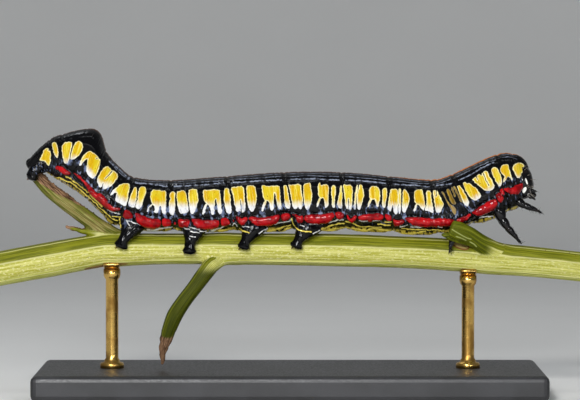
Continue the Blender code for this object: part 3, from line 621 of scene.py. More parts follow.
# Size of the wobbles of the markings' edges in millimetres, and their reach in pixels
WOBBLES = ((0.40, 0.35), (0.17, 0.55))
SPIRACLE_HALF = 2.2
SPIRACLE_NARROWING = 1.35
SPIRACLES = (
    (100.5, 192.0), (151.0, 209.0), (207.0, 211.0), (266.6, 207.0), (320.7, 207.0), (372.0, 206.0),
    (418.0, 209.0), (508.0, 179.0),
)
HEAD_WHITES = (
    ((525.1, 178.2), (526.1, 178.2), (528.1, 183.5), (527.2, 184.9), (525.8, 182.1)),
    ((521.6, 189.8), (525.8, 186.3), (527.0, 189.1), (524.0, 193.7), (522.3, 191.9)),
    ((527.5, 194.0), (530.4, 192.3), (530.7, 193.7), (528.2, 195.1)),
)
# Pale veins of the leaf base; the first, along the midrib, is a painted highlight
LEAF_VEINS_AND_HIGHLIGHT = (
    ((452.0, 229.4), (455.5, 231.6), (459.0, 233.6), (463.0, 236.0), (467.0, 238.0), (471.0, 239.2)),
    ((456.0, 236.4), (461.0, 238.0), (466.0, 240.4)),
    ((470.0, 242.0), (474.0, 244.0), (476.4, 246.6)),
)
# A brown strip of the bark at the rear of the stem, and the scar beside the leaf base
BARK_STRIP = (
    (84.0, 268.4), (96.0, 265.4), (110.0, 263.4), (128.0, 262.8), (128.0, 264.8), (110.0, 266.2),
    (96.0, 268.4), (85.0, 270.4),
)
LEAF_SCAR = (
    (452.0, 240.5), (458.0, 239.4), (464.0, 242.2), (469.0, 246.2), (468.0, 249.6), (462.0, 249.6),
    (455.0, 246.6), (451.4, 243.6),
)
# Below this line the bars are white
WHITE_EDGE = (
    (36.0, 178.0), (50.0, 168.0), (53.0, 155.0), (60.0, 158.0), (66.0, 160.5), (74.0, 156.0),
    (84.0, 163.0), (92.0, 172.0), (101.0, 182.5), (112.0, 184.0), (119.0, 197.0), (130.0, 200.5),
    (150.0, 204.0), (205.0, 203.5), (300.0, 202.5), (380.0, 203.5), (430.0, 206.0), (446.0, 207.0),
    (458.0, 203.0), (470.0, 199.5), (482.0, 193.0), (492.0, 187.0), (501.0, 182.5), (512.0, 177.5),
    (530.0, 175.0),
)
# Depths inside a marking are kept within this many pixels of its edge
FAR_AWAY = -4.0

# Relief of the larva's skin. Ridges and grooves have a height, a distance and a width in millimetres,
# save that those of the red pieces and breathing holes have the last two in pixels
FOLD_GROOVE = (-0.05, 0.0, 0.08)
FOLD_WELT = (0.012, 0.24, 0.12)
FOLD_CREASE = (-0.02, 0.42, 0.06)
CREASE = (-0.022, 0.0, 0.07)
CREASE_PLACES = (0.24, 0.45, 0.66, 0.84)
INNER_FOLDS = (0.4, 12.7)
BELLY_BULGE = 0.14
CUSHION_RISE = 0.36
CUSHION_EDGE = 0.8
CUSHION_REACH = 4.2
CUSHION_GROOVE = (-0.06, -1.6, 0.9)
SPIRACLE_RIM = (0.03, 0.2, 0.5)
# Rises and a pit at the edges of markings: height, then the pixels over which they rise
BAR_RISE = (0.035, -1.2, 1.0)
LINE_RISE = (0.045, -1.1, 0.5)
PINSTRIPE_RISE = (0.014, -0.8, 0.6)
SPIRACLE_PIT = (-0.03, 0.5, 1.6)
# Wrinkles of the skin and the head: height, size and a shift that sets them apart
FLANK_WRINKLE = (0.065, 0.32, 0.0)
BELLY_WRINKLE = (0.05, 0.42, 3.0)
BODY_WRINKLE = (0.02, 0.6, 5.0)
LEG_WRINKLE = (0.03, 0.24, 2.0)
FACE_WRINKLES = ((0.012, 0.25, 0.0), (0.02, 0.7, 4.0))
BELLY_STRETCH = (0.45, 1.0, 1.6)
LEG_STRETCH = (1.0, 1.0, 0.5)
FACE_GROOVE = (-0.045, 0.0, 0.055)
# Each of these goes from where it begins to where it is full: round the body in degrees up from its
# side, then from a fold in millimetres, along the body in segments, inside a marking in pixels and
# forward on the head in millimetres
BELLY_BAND = (-48, -62)
BULGE_BAND = (-58, -80)
KEEL_EDGE = (-100, -80)
CREASE_EDGE = (-60, -35)
FLANK_TOP = (-8, -20)
BULGE_FOLD = (0.1, 0.9)
BULGE_START = (HUMP_END, 4.0)
MARK_EDGE = (0.0, -1.0)
FACE_FRONT = (0.1, 0.5)

# Relief of the perch in millimetres, and of its ridges and teeth also in degrees round it
RIB_RISE = 0.028
RIDGE_RISE = 0.035
RIDGE_WIDTH = 2.6
NODE_RISE = 0.07
STEM_WRINKLE = (0.02, 1.1, 6.0)
CRUMPLE = (0.11, 0.34, 8.0)
CRUMPLE_STRETCH = (1.0, 1.0, 0.6)
FINE_CRUMPLE = (0.04, 0.14, 0.0)
TEETH_SIZE = 0.16
TEETH_RIDGE = (0.16, 78, 9)
TEETH_START = (STUMP_START + 0.6, STUMP_START + 1.2)
# Where the dry skin begins and where it is full, by height or X, and round the stump in degrees
DRY_TWIG = (5.6, 4.3)
DRY_STUMP = (15.8, 17.0)
DRY_BRACT = (-17.2, -18.2)
DRY_SIDE = (-22, -4)
# Below this height the stump's dry side narrows, by so many degrees a millimetre
DRY_TAPER_TOP = 18.3
DRY_TAPER = 34
# The shoots' colour begins at these places and is full at those: X of the leaf, height of the twig
LEAF_BLADE = (18.4, 16.4)
TWIG_BELOW = (11.8, 10.0)
LEAF_FACE = -1.2
CUT_EDGE = (0.09, 0.03)

# The stand: profile of a rod's foot above the base and of its cup below the top, as rise and width
# over the rod's own radius, then the cradle under the stem
ROD_FOOT = ((0.0, 1.9), (0.32, 1.9), (0.46, 1.76), (0.52, 1.3), (0.72, 1.18), (0.86, 1.0), (1.2, 1.0))
ROD_CUP = ((-0.9, 1.0), (-0.7, 1.25), (-0.45, 1.35), (0.0, 1.35))
ROD_SIDES = 48
CUP_DROP = 0.30
CRADLE_GAP = 0.20
CRADLE_TURN = 0.24 * math.pi
CRADLE_HALF = (0.70, 0.15)

# The studio: the floor from front to back, its sweep up to the wall, and the lights, each with its
# place, width, height, power and colour
FLOOR_FRONT = -500.0
FLOOR_BACK = 240.0
SWEEP_RADIUS = 160.0
FLOOR_HALF = 900.0
WALL_TOP = 900.0
LIGHTS = (
    ("key", (-60, -230, 150), 44, 44, 0.38, (1.0, 0.99, 0.97)),
    ("fill", (120, -220, 60), 30, 30, 0.10, (0.94, 0.97, 1.0)),
    ("front", (-24, -230, 76), 44, 34, 0.28, (0.96, 0.98, 1.0)),
    ("overhead", (0, -30, 210), 130, 8, 0.025, (0.90, 0.95, 1.0)),
    ("rim", (-50, 70, 150), 14, 14, 0.02, (0.92, 0.96, 1.0)),
)
SKY_COLOUR = (0.92, 0.95, 1.0, 1.0)
SKY_STRENGTH = 0.2


def srgb(red, green, blue):
    """A colour of the screen, from 0 to 255, as Blender's linear one."""
    linear = []
    for value in (red, green, blue):
        part = value / 255
        linear.append(part / 12.92 if part <= 0.04045 else ((part + 0.055) / 1.055) ** 2.4)
    return (*linear, 1.0)


class Finish:
    """A material whose nodes are added by short calls, each of which gives back a socket."""

    def __init__(self, name):
        self.material = bpy.data.materials.new(name)
        self.material.use_nodes = True
        self.tree = self.material.node_tree
        self.surface = self.tree.nodes["Principled BSDF"]

    def fill(self, socket, value):
        if isinstance(value, bpy.types.NodeSocket):
            self.tree.links.new(value, socket)
        else:
            socket.default_value = value

    def add(self, kind, values=None, **settings):
        node = self.tree.nodes.new(kind)
        for key, value in settings.items():
            setattr(node, key, value)
        for key, value in (values or {}).items():
            self.fill(node.inputs[key], value)
        return node

    def set(self, **values):
        """Sets the shader's own sockets, named in lower case with underscores."""
        for key, value in values.items():
            self.fill(self.surface.inputs[key.replace("_", " ").title().replace("Ior", "IOR")], value)

    def attribute(self, name, output="Fac"):
        return self.add("ShaderNodeAttribute", attribute_name=name).outputs[output]

    def place(self):
        """The point's place in the row frame, in millimetres."""
        spot = self.add("ShaderNodeTexCoord").outputs["Object"]
        scaled = self.add("ShaderNodeVectorMath", {0: spot, "Scale": 1 / MM}, operation="SCALE")
        return scaled.outputs[0]

    def noise(self, vector, scale, detail=2.0, roughness=0.5):
        """Smooth noise with one scale, or with three along the vector's own axes."""
        if isinstance(scale, tuple):
            stretched = self.add("ShaderNodeVectorMath", {0: vector, 1: scale}, operation="MULTIPLY")
            vector, scale = stretched.outputs[0], 1.0
        values = {"Vector": vector, "Scale": scale, "Detail": detail, "Roughness": roughness}
        return self.add("ShaderNodeTexNoise", values).outputs[0]

    def ease(self, value, low, high, to_low=0.0, to_high=1.0):
        """A smooth step of value from low to high."""
        values = {"Value": value, "From Min": low, "From Max": high, "To Min": to_low, "To Max": to_high}
        return self.add("ShaderNodeMapRange", values, interpolation_type="SMOOTHSTEP").outputs[0]

    def band(self, value, start, full, fade, end):
        """1 where value is between full and fade, easing to 0 at start and at end."""
        return self.times(self.ease(value, start, full), self.ease(value, end, fade))

    def math(self, operation, first, second=0.0):
        return self.add("ShaderNodeMath", {0: first, 1: second}, operation=operation).outputs[0]

    def times(self, first, second):
        return self.math("MULTIPLY", first, second)

    def plus(self, first, second):
        return self.math("ADD", first, second)

    def most(self, first, second):
        return self.math("MAXIMUM", first, second)

    def away(self, value, middle):
        """How far value is from middle, either way."""
        return self.math("ABSOLUTE", self.math("SUBTRACT", value, middle))

    def mix(self, factor, first, second):
        return self.add("ShaderNodeMix", {0: factor, 6: first, 7: second}, data_type="RGBA").outputs[2]

    def tones(self, value, low, high, first, second):
        """A colour that goes from first to second as value goes from low to high."""
        return self.mix(self.ease(value, low, high), srgb(*first), srgb(*second))

    def tint(self, colour, value, low, high, strength, shade):
        """The colour with a shade laid over it as value goes from low to high."""
        return self.mix(self.ease(value, low, high, 0.0, strength), colour, srgb(*shade))

    def bump(self, height, strength, distance):
        values = {"Height": height, "Strength": strength, "Distance": distance * MM}
        return self.add("ShaderNodeBump", values).outputs[0]


def speckled(name, scale, first, second, **settings):
    """A plain finish in fine specks of two close colours."""
    look = Finish(name)
    look.set(base_color=look.tones(look.noise(look.place(), scale), 0.4, 0.6, first, second), **settings)
    return look.material


def link(thing):
    bpy.context.scene.collection.objects.link(thing)
    return thing


def smooth_rows(rows, places):
    """Rows of values at places on the smooth curve through rows, whose first column is the place."""
    rows = np.array(rows, float)
    places = np.asarray(places, float)
    last = len(rows) - 1
    i = np.clip(np.searchsorted(rows[:, 0], places, side="left") - 1, 0, last - 1)
    a, b = rows[i], rows[i + 1]
    before, after = rows[np.maximum(i - 1, 0)], rows[np.minimum(i + 2, last)]
    span = (b - a)[:, :1]
    t = (places[:, None] - a[:, :1]) / span
    slope_a = (b - before) / (b - before)[:, :1] * span
    slope_b = (after - a) / (after - a)[:, :1] * span
    made = (2 * t**3 - 3 * t**2 + 1) * a + (t**3 - 2 * t**2 + t) * slope_a
    made += (3 * t**2 - 2 * t**3) * b + (t**3 - t**2) * slope_b
    return made[:, 1:]


def smooth_path(rows, steps=4):
    """The rows of a path, with more between them on a smooth curve."""
    numbered = [(i, *row) for i, row in enumerate(rows)]
    return smooth_rows(numbered, np.linspace(0, len(rows) - 1, (len(rows) - 1) * steps + 1))


def both_sides(rows):
    """The rows of the right side and their mirror on the left."""
    return tuple(rows), tuple((x, -y, *rest) for x, y, *rest in rows)


def turns(count):
    """Equal angles once round."""
    return 2 * math.pi * np.arange(count) / count


def unit(vector):
    return np.array(vector) / np.linalg.norm(vector)


def shell(rings):
    """Points and faces of a closed body through rings of equally many points, each end closed by a fan."""
    rings = np.asarray(rings, float)
    count, sides = rings.shape[:2]
    points = np.concatenate([rings.reshape(-1, 3), [rings[0].mean(0)], [rings[-1].mean(0)]])
    first, last = count * sides, count * sides + 1
    faces = []
    for ring in range(count - 1):
        for k in range(sides):
            after = (k + 1) % sides
            low, high = ring * sides, (ring + 1) * sides
            faces.append((low + k, low + after, high + after, high + k))
    for k in range(sides):
        after = (k + 1) % sides
        faces.append((first, after, k))
        faces.append((last, (count - 1) * sides + k, (count - 1) * sides + after))
    return points, faces


def cross_axes(tangent):
    """The axes of a section square to a line: along the line's own side view, and across the view."""
    across = np.array((0.0, 1.0, 0.0)) - tangent * tangent[1]
    across /= np.linalg.norm(across)
    return np.cross(tangent, across), across


def ring_at(middle, tangent, wide, deep, angles):
    along, across = cross_axes(tangent)
    return middle + np.outer(np.cos(angles) * wide, along) + np.outer(np.sin(angles) * deep, across)


def tube(rows, sides, tips=(False, False)):
    """A closed tube along rows of X, Y, Z and two half widths. A rounded tip adds domed rings."""
    rows = np.asarray(rows, float)
    places = rows[:, :3]
    ahead = np.gradient(places, axis=0)
    tangents = ahead / np.linalg.norm(ahead, axis=1, keepdims=True)
    angles = turns(sides)
    rings = [ring_at(row[:3], way, row[3], row[4], angles) for row, way in zip(rows, tangents)]
    for end, wanted in ((0, tips[0]), (-1, tips[1])):
        if not wanted:
            continue
        outward = -tangents[0] if end == 0 else tangents[-1]
        cap = []
        for turn in np.radians(TIP_TURNS):
            shift = outward * rows[end, 3:].min() * TIP_LENGTH * math.sin(turn)
            wide, deep = rows[end, 3] * math.cos(turn), rows[end, 4] * math.cos(turn)
            cap.append(ring_at(places[end] + shift, tangents[end], wide, deep, angles))
        rings = cap[::-1] + rings if end == 0 else rings + cap
    return shell(rings)


def ellipsoid(middle, axes, radii, sides=24, rows=14):
    """A closed ellipsoid with radii along three given axes."""
    rings = []
    angles = turns(sides)
    for rise in np.linspace(-math.pi / 2 * POLE_SHARE, math.pi / 2 * POLE_SHARE, rows):
        flat = np.cos(rise)
        local = [np.cos(angles) * flat, np.sin(angles) * flat, np.full(sides, math.sin(rise))]
        rings.append(middle + (np.stack(local, axis=1) * radii) @ np.array(axes))
    return shell(rings)


def stacked(shells):
    """Several shells as one list of points and one of faces."""
    points, faces, start = [], [], 0
    for shell_points, shell_faces in shells:
        points.append(shell_points)
        faces.extend(tuple(index + start for index in face) for face in shell_faces)
        start += len(shell_points)
    return np.concatenate(points), faces


def mesh_object(name, shells):
    """An object of closed shells whose faces all look outwards."""
    points, faces = stacked(shells)
    mesh = bpy.data.meshes.new(name)
    mesh.from_pydata(points.tolist(), [], faces)
    bm = bmesh.new()
    bm.from_mesh(mesh)
    bmesh.ops.recalc_face_normals(bm, faces=bm.faces)
    bm.to_mesh(mesh)
    bm.free()
    return link(bpy.data.objects.new(name, mesh))


def fused(name, shells, voxel, rounds):
    """One closed skin round shells that overlap, with the small steps of its voxels evened out."""
    thing = mesh_object(name, shells)
    modifier = thing.modifiers.new("one skin", "REMESH")
    modifier.mode = "VOXEL"
    modifier.voxel_size = voxel
    view = bpy.context.evaluated_depsgraph_get()
    mesh = bpy.data.meshes.new_from_object(thing.evaluated_get(view))
    thing.modifiers.clear()
    thing.data = mesh
    relax(mesh, rounds)
    return thing


def read_vectors(data, key):
    values = np.empty(len(data) * 3, np.float32)
    data.foreach_get(key, values)
    return values.reshape(-1, 3).astype(float)


def read_points(mesh):
    return read_vectors(mesh.vertices, "co")


def write_points(mesh, points):
    mesh.vertices.foreach_set("co", np.asarray(points, np.float32).ravel())
    mesh.update()


def raise_skin(mesh, points, relief):
    """Moves the points out along their normals by the relief and writes them to the mesh."""
    points += read_vectors(mesh.vertex_normals, "vector") * relief[:, None]
    write_points(mesh, points)


def relax(mesh, rounds, pull=0.55, push=-0.57, weights=1.0):
    """Evens out a skin. With push it keeps its volume, and without it fills its corners."""
    edges = np.empty(len(mesh.edges) * 2, np.int32)
    mesh.edges.foreach_get("vertices", edges)
    first, second = edges[0::2], edges[1::2]
    points = read_points(mesh)
    count = len(points)
    degree = np.bincount(first, minlength=count) + np.bincount(second, minlength=count)
    shares = [share * weights for share in (pull, push) if share]
    for _ in range(rounds):
        for share in shares:
            total = np.empty_like(points)
            for axis in range(3):
                total[:, axis] = np.bincount(first, points[second, axis], count)
                total[:, axis] += np.bincount(second, points[first, axis], count)
            points += np.reshape(share, (-1, 1)) * (total / degree[:, None] - points)
    write_points(mesh, points)


def store(mesh, name, values):
    """Keeps a number for each point, or a vector for each, for the finish to read."""
    kind, key = ("FLOAT_VECTOR", "vector") if np.ndim(values) == 2 else ("FLOAT", "value")
    layer = mesh.attributes.new(name, kind, "POINT")
    layer.data.foreach_set(key, np.asarray(values, np.float32).ravel())


def finish_piece(thing, material, slot, *nodes):
    """Smooth shading, a finish, and the CAD nodes that the piece stands for. Its mesh goes to metres."""
    write_points(thing.data, read_points(thing.data) * MM)
    thing.data.materials.clear()
    thing.data.materials.append(material)
    thing.data.shade_smooth()
    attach(thing, "root")
    if nodes:
        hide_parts(*nodes)


def noise_at(points, scale, shift=0.0):
    """Smooth noise from -1 to 1 at points in millimetres, with features about scale across."""
    offset = Vector((shift, shift * 1.7, -shift))
    return np.array([noise.noise(Vector(point) + offset) for point in points / scale])


def step(values, low, high):
    """A smooth step from 0 at low to 1 at high, which may be below low."""
    t = np.clip((values - low) / (high - low), 0, 1)
    return t * t * (3 - 2 * t)


def between(values, start, full, fade, end):
    """1 between full and fade, easing to 0 at start and at end."""
    return step(values, start, full) * step(values, end, fade)


def ridge(values, shape):
    """A rounded ridge of a height, a middle and a width, or a groove where the height is negative."""
    height, middle, width = shape
    return height * np.exp(-(((values - middle) / width) ** 2))


def raised(values, shape):
    """A smooth rise of a height between two values, or a pit where the height is negative."""
    height, low, high = shape
    return height * step(values, low, high)


def wrinkled(points, shape):
    """Wrinkles of a height, a size and a shift that sets them apart from others."""
    height, size, shift = shape
    return height * noise_at(points, size, shift)


def photo_place(points):
    """Where points in millimetres show in the photograph, in its pixels. The far side mirrors the near."""
    side = -np.abs(points[:, 1])
    height = points[:, 2] - AIM_HEIGHT
    depth = DISTANCE + side * math.cos(CAMERA_RISE) - height * math.sin(CAMERA_RISE)
    rise = side * math.sin(CAMERA_RISE) + height * math.cos(CAMERA_RISE)
    scale = DISTANCE / depth / PIXEL
    return np.stack([PICTURE_MIDDLE[0] + points[:, 0] * scale, PICTURE_MIDDLE[1] - rise * scale], axis=1)


def rounded_line(line, closed, rounds=2):
    """The line with its corners cut, which gives it a soft run."""
    line = np.array(line, float)
    for _ in range(rounds):
        after = np.roll(line, -1, axis=0)
        near, far = line * 0.75 + after * 0.25, line * 0.25 + after * 0.75
        cut = np.stack([near, far], axis=1).reshape(-1, 2)
        line = cut if closed else np.concatenate([line[:1], cut[:-2], line[-1:]])
    return line


def line_distance(spots, line, closed=False):
    """Distance of each spot from a line, in the line's own units."""
    start = line if closed else line[:-1]
    end = np.roll(line, -1, axis=0) if closed else line[1:]
    run = end - start
    offset = spots[:, None, :] - start[None]
    length = np.maximum((run**2).sum(1), 1e-12)
    t = np.clip((offset * run[None]).sum(2) / length, 0, 1)
    nearest = offset - t[..., None] * run[None]
    return np.sqrt((nearest**2).sum(2).min(1))


def within(spots, line):
    """Whether each spot is inside a closed line."""
    inside = np.zeros(len(spots), bool)
    x, y = spots[:, 0], spots[:, 1]
    for (ax, ay), (bx, by) in zip(line, np.roll(line, -1, axis=0)):
        if ay != by:
            inside ^= ((ay > y) != (by > y)) & (x < (bx - ax) * (y - ay) / (by - ay) + ax)
    return inside


def kept_near(depths):
    return np.clip(depths, FAR_AWAY, -FAR_AWAY)


def marking(spots, outlines=(), lines=(), half=0.0, rounds=2):
    """Depth of each spot inside the nearest outline or line, in pixels, negative outside."""
    depth = np.full(len(spots), FAR_AWAY)
    for line, closed in [(line, True) for line in outlines] + [(line, False) for line in lines]:
        line = rounded_line(line, closed, rounds)
        low, high = line.min(0) + FAR_AWAY, line.max(0) - FAR_AWAY
        near = np.flatnonzero(((spots > low) & (spots < high)).all(1))
        if not len(near):
            continue
        found = line_distance(spots[near], line, closed)
        if closed:
            found = np.where(within(spots[near], line), found, -found)
        else:
            found = half - found
        depth[near] = np.maximum(depth[near], found)
    return kept_near(depth)


def section_at(places):
    """At places along the body: the section's middle and half height as X and Z, and half its width."""
    rows = smooth_rows(STATIONS, places)
    back, belly = rows[:, 0:2], rows[:, 2:4]
    return (back + belly) / 2, (back - belly) / 2, rows[:, 4]


def fold_scale(places):
    """The section is smaller at the folds between segments."""
    part = places - np.floor(places)
    return 1 - ridge(np.minimum(part, 1 - part), (FOLD_SHARE, 0.0, FOLD_REACH))


def squared(values):
    """Cosines or sines of a round section, taken a little towards a square one."""
    return np.sign(values) * np.abs(values) ** (2 / SECTION_SQUARENESS)


def body_shell():
    """The body from tail to neck, as a plain closed loft."""
    last = len(SEGMENTS)
    places = np.linspace(0, last - LAST_SLIVER, last * RINGS_PER_SEGMENT + 1)
    middle, half, width = section_at(places)
    height = np.linalg.norm(half, axis=1)
    up = half / height[:, None]
    to_front = np.clip((places - last + NECK_REACH) / NECK_REACH, 0, 1)
    scale = fold_scale(places) * (1 - NECK_SHARE * to_front**NECK_POWER)
    angles = turns(BODY_SIDES)
    across = -squared(np.cos(angles))[None] * (width * scale)[:, None]
    upward = squared(np.sin(angles))[None] * (height * scale)[:, None]
    x = middle[:, :1] + upward * up[:, :1]
    z = middle[:, 1:] + upward * up[:, 1:]
    return shell(np.stack([x, across, z], axis=2))


def body_places(points):
    """Each point's place along the body, its angle round it and a segment's length there in mm."""
    last = len(SEGMENTS)
    samples = np.linspace(0, last, last * SAMPLES_PER_SEGMENT + 1)
    rows = smooth_rows(STATIONS, samples)
    belly, run = rows[:, 2:4], rows[:, 0:2] - rows[:, 2:4]
    flat = points[:, [0, 2]]
    place = np.empty(len(points))
    for start in range(0, len(points), POINTS_AT_ONCE):
        part = flat[start : start + POINTS_AT_ONCE]
        cross = run[None, :, 0] * (part[:, 1:] - belly[None, :, 1])
        cross -= run[None, :, 1] * (part[:, :1] - belly[None, :, 0])
        index = np.clip((cross < 0).sum(1) - 1, 0, len(samples) - 2)
        row = np.arange(len(part))
        low, high = cross[row, index], cross[row, index + 1]
        t = np.clip(low / np.where(np.abs(low - high) < 1e-9, 1, low - high), 0, 1)
        place[start : start + POINTS_AT_ONCE] = samples[index] + t * (samples[1] - samples[0])
    middle, half, width = section_at(place)
    rise = ((flat - middle) * half).sum(1) / (half**2).sum(1)
    angle = np.degrees(np.arctan2(rise, np.abs(points[:, 1]) / width))
    ahead, behind = np.clip(place + NUDGE, 0, last), np.clip(place - NUDGE, 0, last)
    moved = smooth_rows(STATIONS, ahead) - smooth_rows(STATIONS, behind)
    share = (rise[:, None] + 1) / 2
    moved = moved[:, 2:4] * (1 - share) + moved[:, 0:2] * share
    return place, angle, np.linalg.norm(moved, axis=1) / (2 * NUDGE)


def skin_shells():
    """The body, its prolegs and its small swellings, as closed shells that overlap."""
    shells = [body_shell()]
    for rows in PROLEG_LINES.values():
        for line in both_sides(rows):
            shells.append(tube(smooth_path(line), PROLEG_SIDES, (False, True)))
    for x, y, z, *radii in BODY_LUMPS:
        for side in SIDES:
            shells.append(ellipsoid(np.array((x, side * y, z)), np.eye(3), radii))
    return shells


def side_fold(points, spots, place):
    """How far the fold that carries the red pieces stands out sideways."""
    middles = np.array(sorted(np.mean(outline, axis=0).tolist() for outline in RED_PIECES.values()))
    below = spots[:, 1] - np.interp(spots[:, 0], middles[:, 0], middles[:, 1])
    fold = SIDE_FOLD * between(below, *SIDE_FOLD_BELOW) * between(place, *SIDE_FOLD_ALONG)
    return fold * step(np.abs(points[:, 1]), *SIDE_FOLD_OUT)


def leg_share(points):
    """1 on the prolegs, which keep a plain, dark skin, and 0 on the body."""
    share = np.zeros(len(points))
    for rows in PROLEG_LINES.values():
        for x, y, z, wide, _ in smooth_path(rows, FREE_LEG_STEPS)[FREE_LEG_START:]:
            offset = np.hypot(np.hypot(points[:, 0] - x, np.abs(points[:, 1]) + y), points[:, 2] - z)
            share = np.maximum(share, step(offset, wide * LEG_FADE, wide))
    return share


def skin_marks(points, spots, place, angle):
    """How deep each point lies inside each marking, in the photograph's pixels, negative outside."""
    waver = LINE_WAVER * noise_at(points, LINE_WAVER_SIZE, 7.0)
    degree = math.radians(BODY_RADIUS) / PIXEL
    pinstripe = marking(spots, (), (PINSTRIPE,), PINSTRIPE_HALF) + waver
    for upper in UPPER_PINSTRIPES:
        wavy = upper + UPPER_WAVE * noise_at(points, UPPER_WAVE_SIZE, upper)
        depth = PINSTRIPE_HALF * UPPER_HALF - np.abs(angle - wavy) * degree + waver
        pinstripe = np.maximum(pinstripe, np.where(place > HUMP_END, depth, FAR_AWAY))
    spiracle = np.full(len(points), FAR_AWAY)
    for x, y in SPIRACLES:
        offset = np.hypot((spots[:, 0] - x) * SPIRACLE_NARROWING, spots[:, 1] - y)
        spiracle = np.maximum(spiracle, SPIRACLE_HALF - offset)
    bars = marking(spots, BARS.values(), rounds=1)
    # Depth inside the bars of the front fold, which get painted shade
    fold_shade = marking(spots, SHADED_FOLD_BARS.values(), SHADED_FOLD_LINES, SHADED_FOLD_LINE_HALF)
    slits = marking(spots, (), SLITS, SLIT_HALF)
    edge_x, edge_y = np.array(WHITE_EDGE).T
    return {
        "bar": np.minimum(np.maximum(bars, fold_shade), -slits),
        "fold_shade": fold_shade,
        "white_end": kept_near((spots[:, 1] - np.interp(spots[:, 0], edge_x, edge_y)) / 2),
        "red": marking(spots, RED_PIECES.values(), [(dot, dot) for dot in RED_DOTS], RED_DOT_HALF),
        "white_line": marking(spots, (), WHITE_LINES, WHITE_LINE_HALF) + waver,
        "yellow_line": marking(spots, (), YELLOW_LINES, YELLOW_LINE_HALF) + waver,
        "pinstripe": pinstripe,
        "orange": (ORANGE_REACH - np.abs(90 - angle)) * degree,
        "spiracle": spiracle,
    }


def skin_relief(points, place, angle, length, marks, on_leg):
    """How far each point of the skin stands out along its normal, in millimetres."""
    to_fold = np.abs(place - np.round(place)) * length
    part = place - np.floor(place)
    inner = (place > INNER_FOLDS[0]) & (place < INNER_FOLDS[1])
    off_leg = 1 - on_leg
    body = off_leg * step(angle, *KEEL_EDGE)

    # Grooves at the folds with a low welt beside them, creases between them and a bulging belly
    relief = (ridge(to_fold, FOLD_GROOVE) + ridge(to_fold, FOLD_CREASE)) * inner * body
    relief += ridge(to_fold, FOLD_WELT) * body
    for crease in CREASE_PLACES:
        relief += ridge((part - crease) * length, CREASE) * step(angle, *CREASE_EDGE) * inner
    bulge = step(angle, *BULGE_BAND) * off_leg * step(to_fold, *BULGE_FOLD) * step(place, *BULGE_START)
    relief += BELLY_BULGE * bulge

    # Markings
    bar, red, spiracle = marks["bar"], marks["red"], marks["spiracle"]
    relief += raised(bar, BAR_RISE)
    cushion = np.clip((red + CUSHION_EDGE) / CUSHION_REACH, 0, 1)
    relief += CUSHION_RISE * np.sqrt(1 - (1 - cushion) ** 2)
    relief += ridge(red, CUSHION_GROOVE) * (red > FAR_AWAY)
    relief += raised(np.maximum(marks["white_line"], marks["yellow_line"]), LINE_RISE)
    relief += raised(marks["pinstripe"], PINSTRIPE_RISE)
    relief += ridge(spiracle, SPIRACLE_RIM) + raised(spiracle, SPIRACLE_PIT)

    # Wrinkles
    under = step(angle, *BELLY_BAND)
    flank = (1 - under) * step(angle, *FLANK_TOP) * step(bar, *MARK_EDGE) * step(red, *MARK_EDGE)
    streaks = np.stack([place * length, angle * 0.02, points[:, 1] * 0.2], axis=1)
    relief += flank * wrinkled(streaks, FLANK_WRINKLE)
    relief += under * off_leg * wrinkled(points * BELLY_STRETCH, BELLY_WRINKLE)
    relief += wrinkled(points, BODY_WRINKLE)
    relief += on_leg * wrinkled(points * LEG_STRETCH, LEG_WRINKLE)
    return relief


def build_skin():
    """Body and prolegs under one skin, with its folds, wrinkles, cushions and markings."""
    skin = fused("larva_skin", skin_shells(), SKIN_VOXEL, SKIN_ROUNDS)
    mesh = skin.data
    points = read_points(mesh)
    place, angle, length = body_places(points)
    spots = photo_place(points)
    points[:, 1] += np.sign(points[:, 1]) * side_fold(points, spots, place)
    write_points(mesh, points)
    for scale, reach in WOBBLES:
        spots += reach * np.stack([noise_at(points, scale), noise_at(points, scale, 9.0)], axis=1)

    on_leg = leg_share(points)
    marks = skin_marks(points, spots, place, angle)
    raise_skin(mesh, points, skin_relief(points, place, angle, length, marks, on_leg))
    to_fold = np.abs(place - np.round(place)) * length
    marks["pinstripe"] = np.minimum(marks["pinstripe"], (to_fold - PINSTRIPE_GAP) / PIXEL)
    for name, values in {**marks, "round": angle, "place": place, "leg": on_leg}.items():
        store(mesh, name, values)
    flat_spot = [place * SEGMENT_LENGTH, np.radians(angle) * BODY_RADIUS, np.sign(points[:, 1])]
    store(mesh, "body_spot", np.stack(flat_spot, axis=1))
    prolegs = [f"{name}_{side}" for name in PROLEG_LINES for side in ("right", "left")]
    finish_piece(skin, skin_finish(), "cuticle", *SEGMENTS, *prolegs)


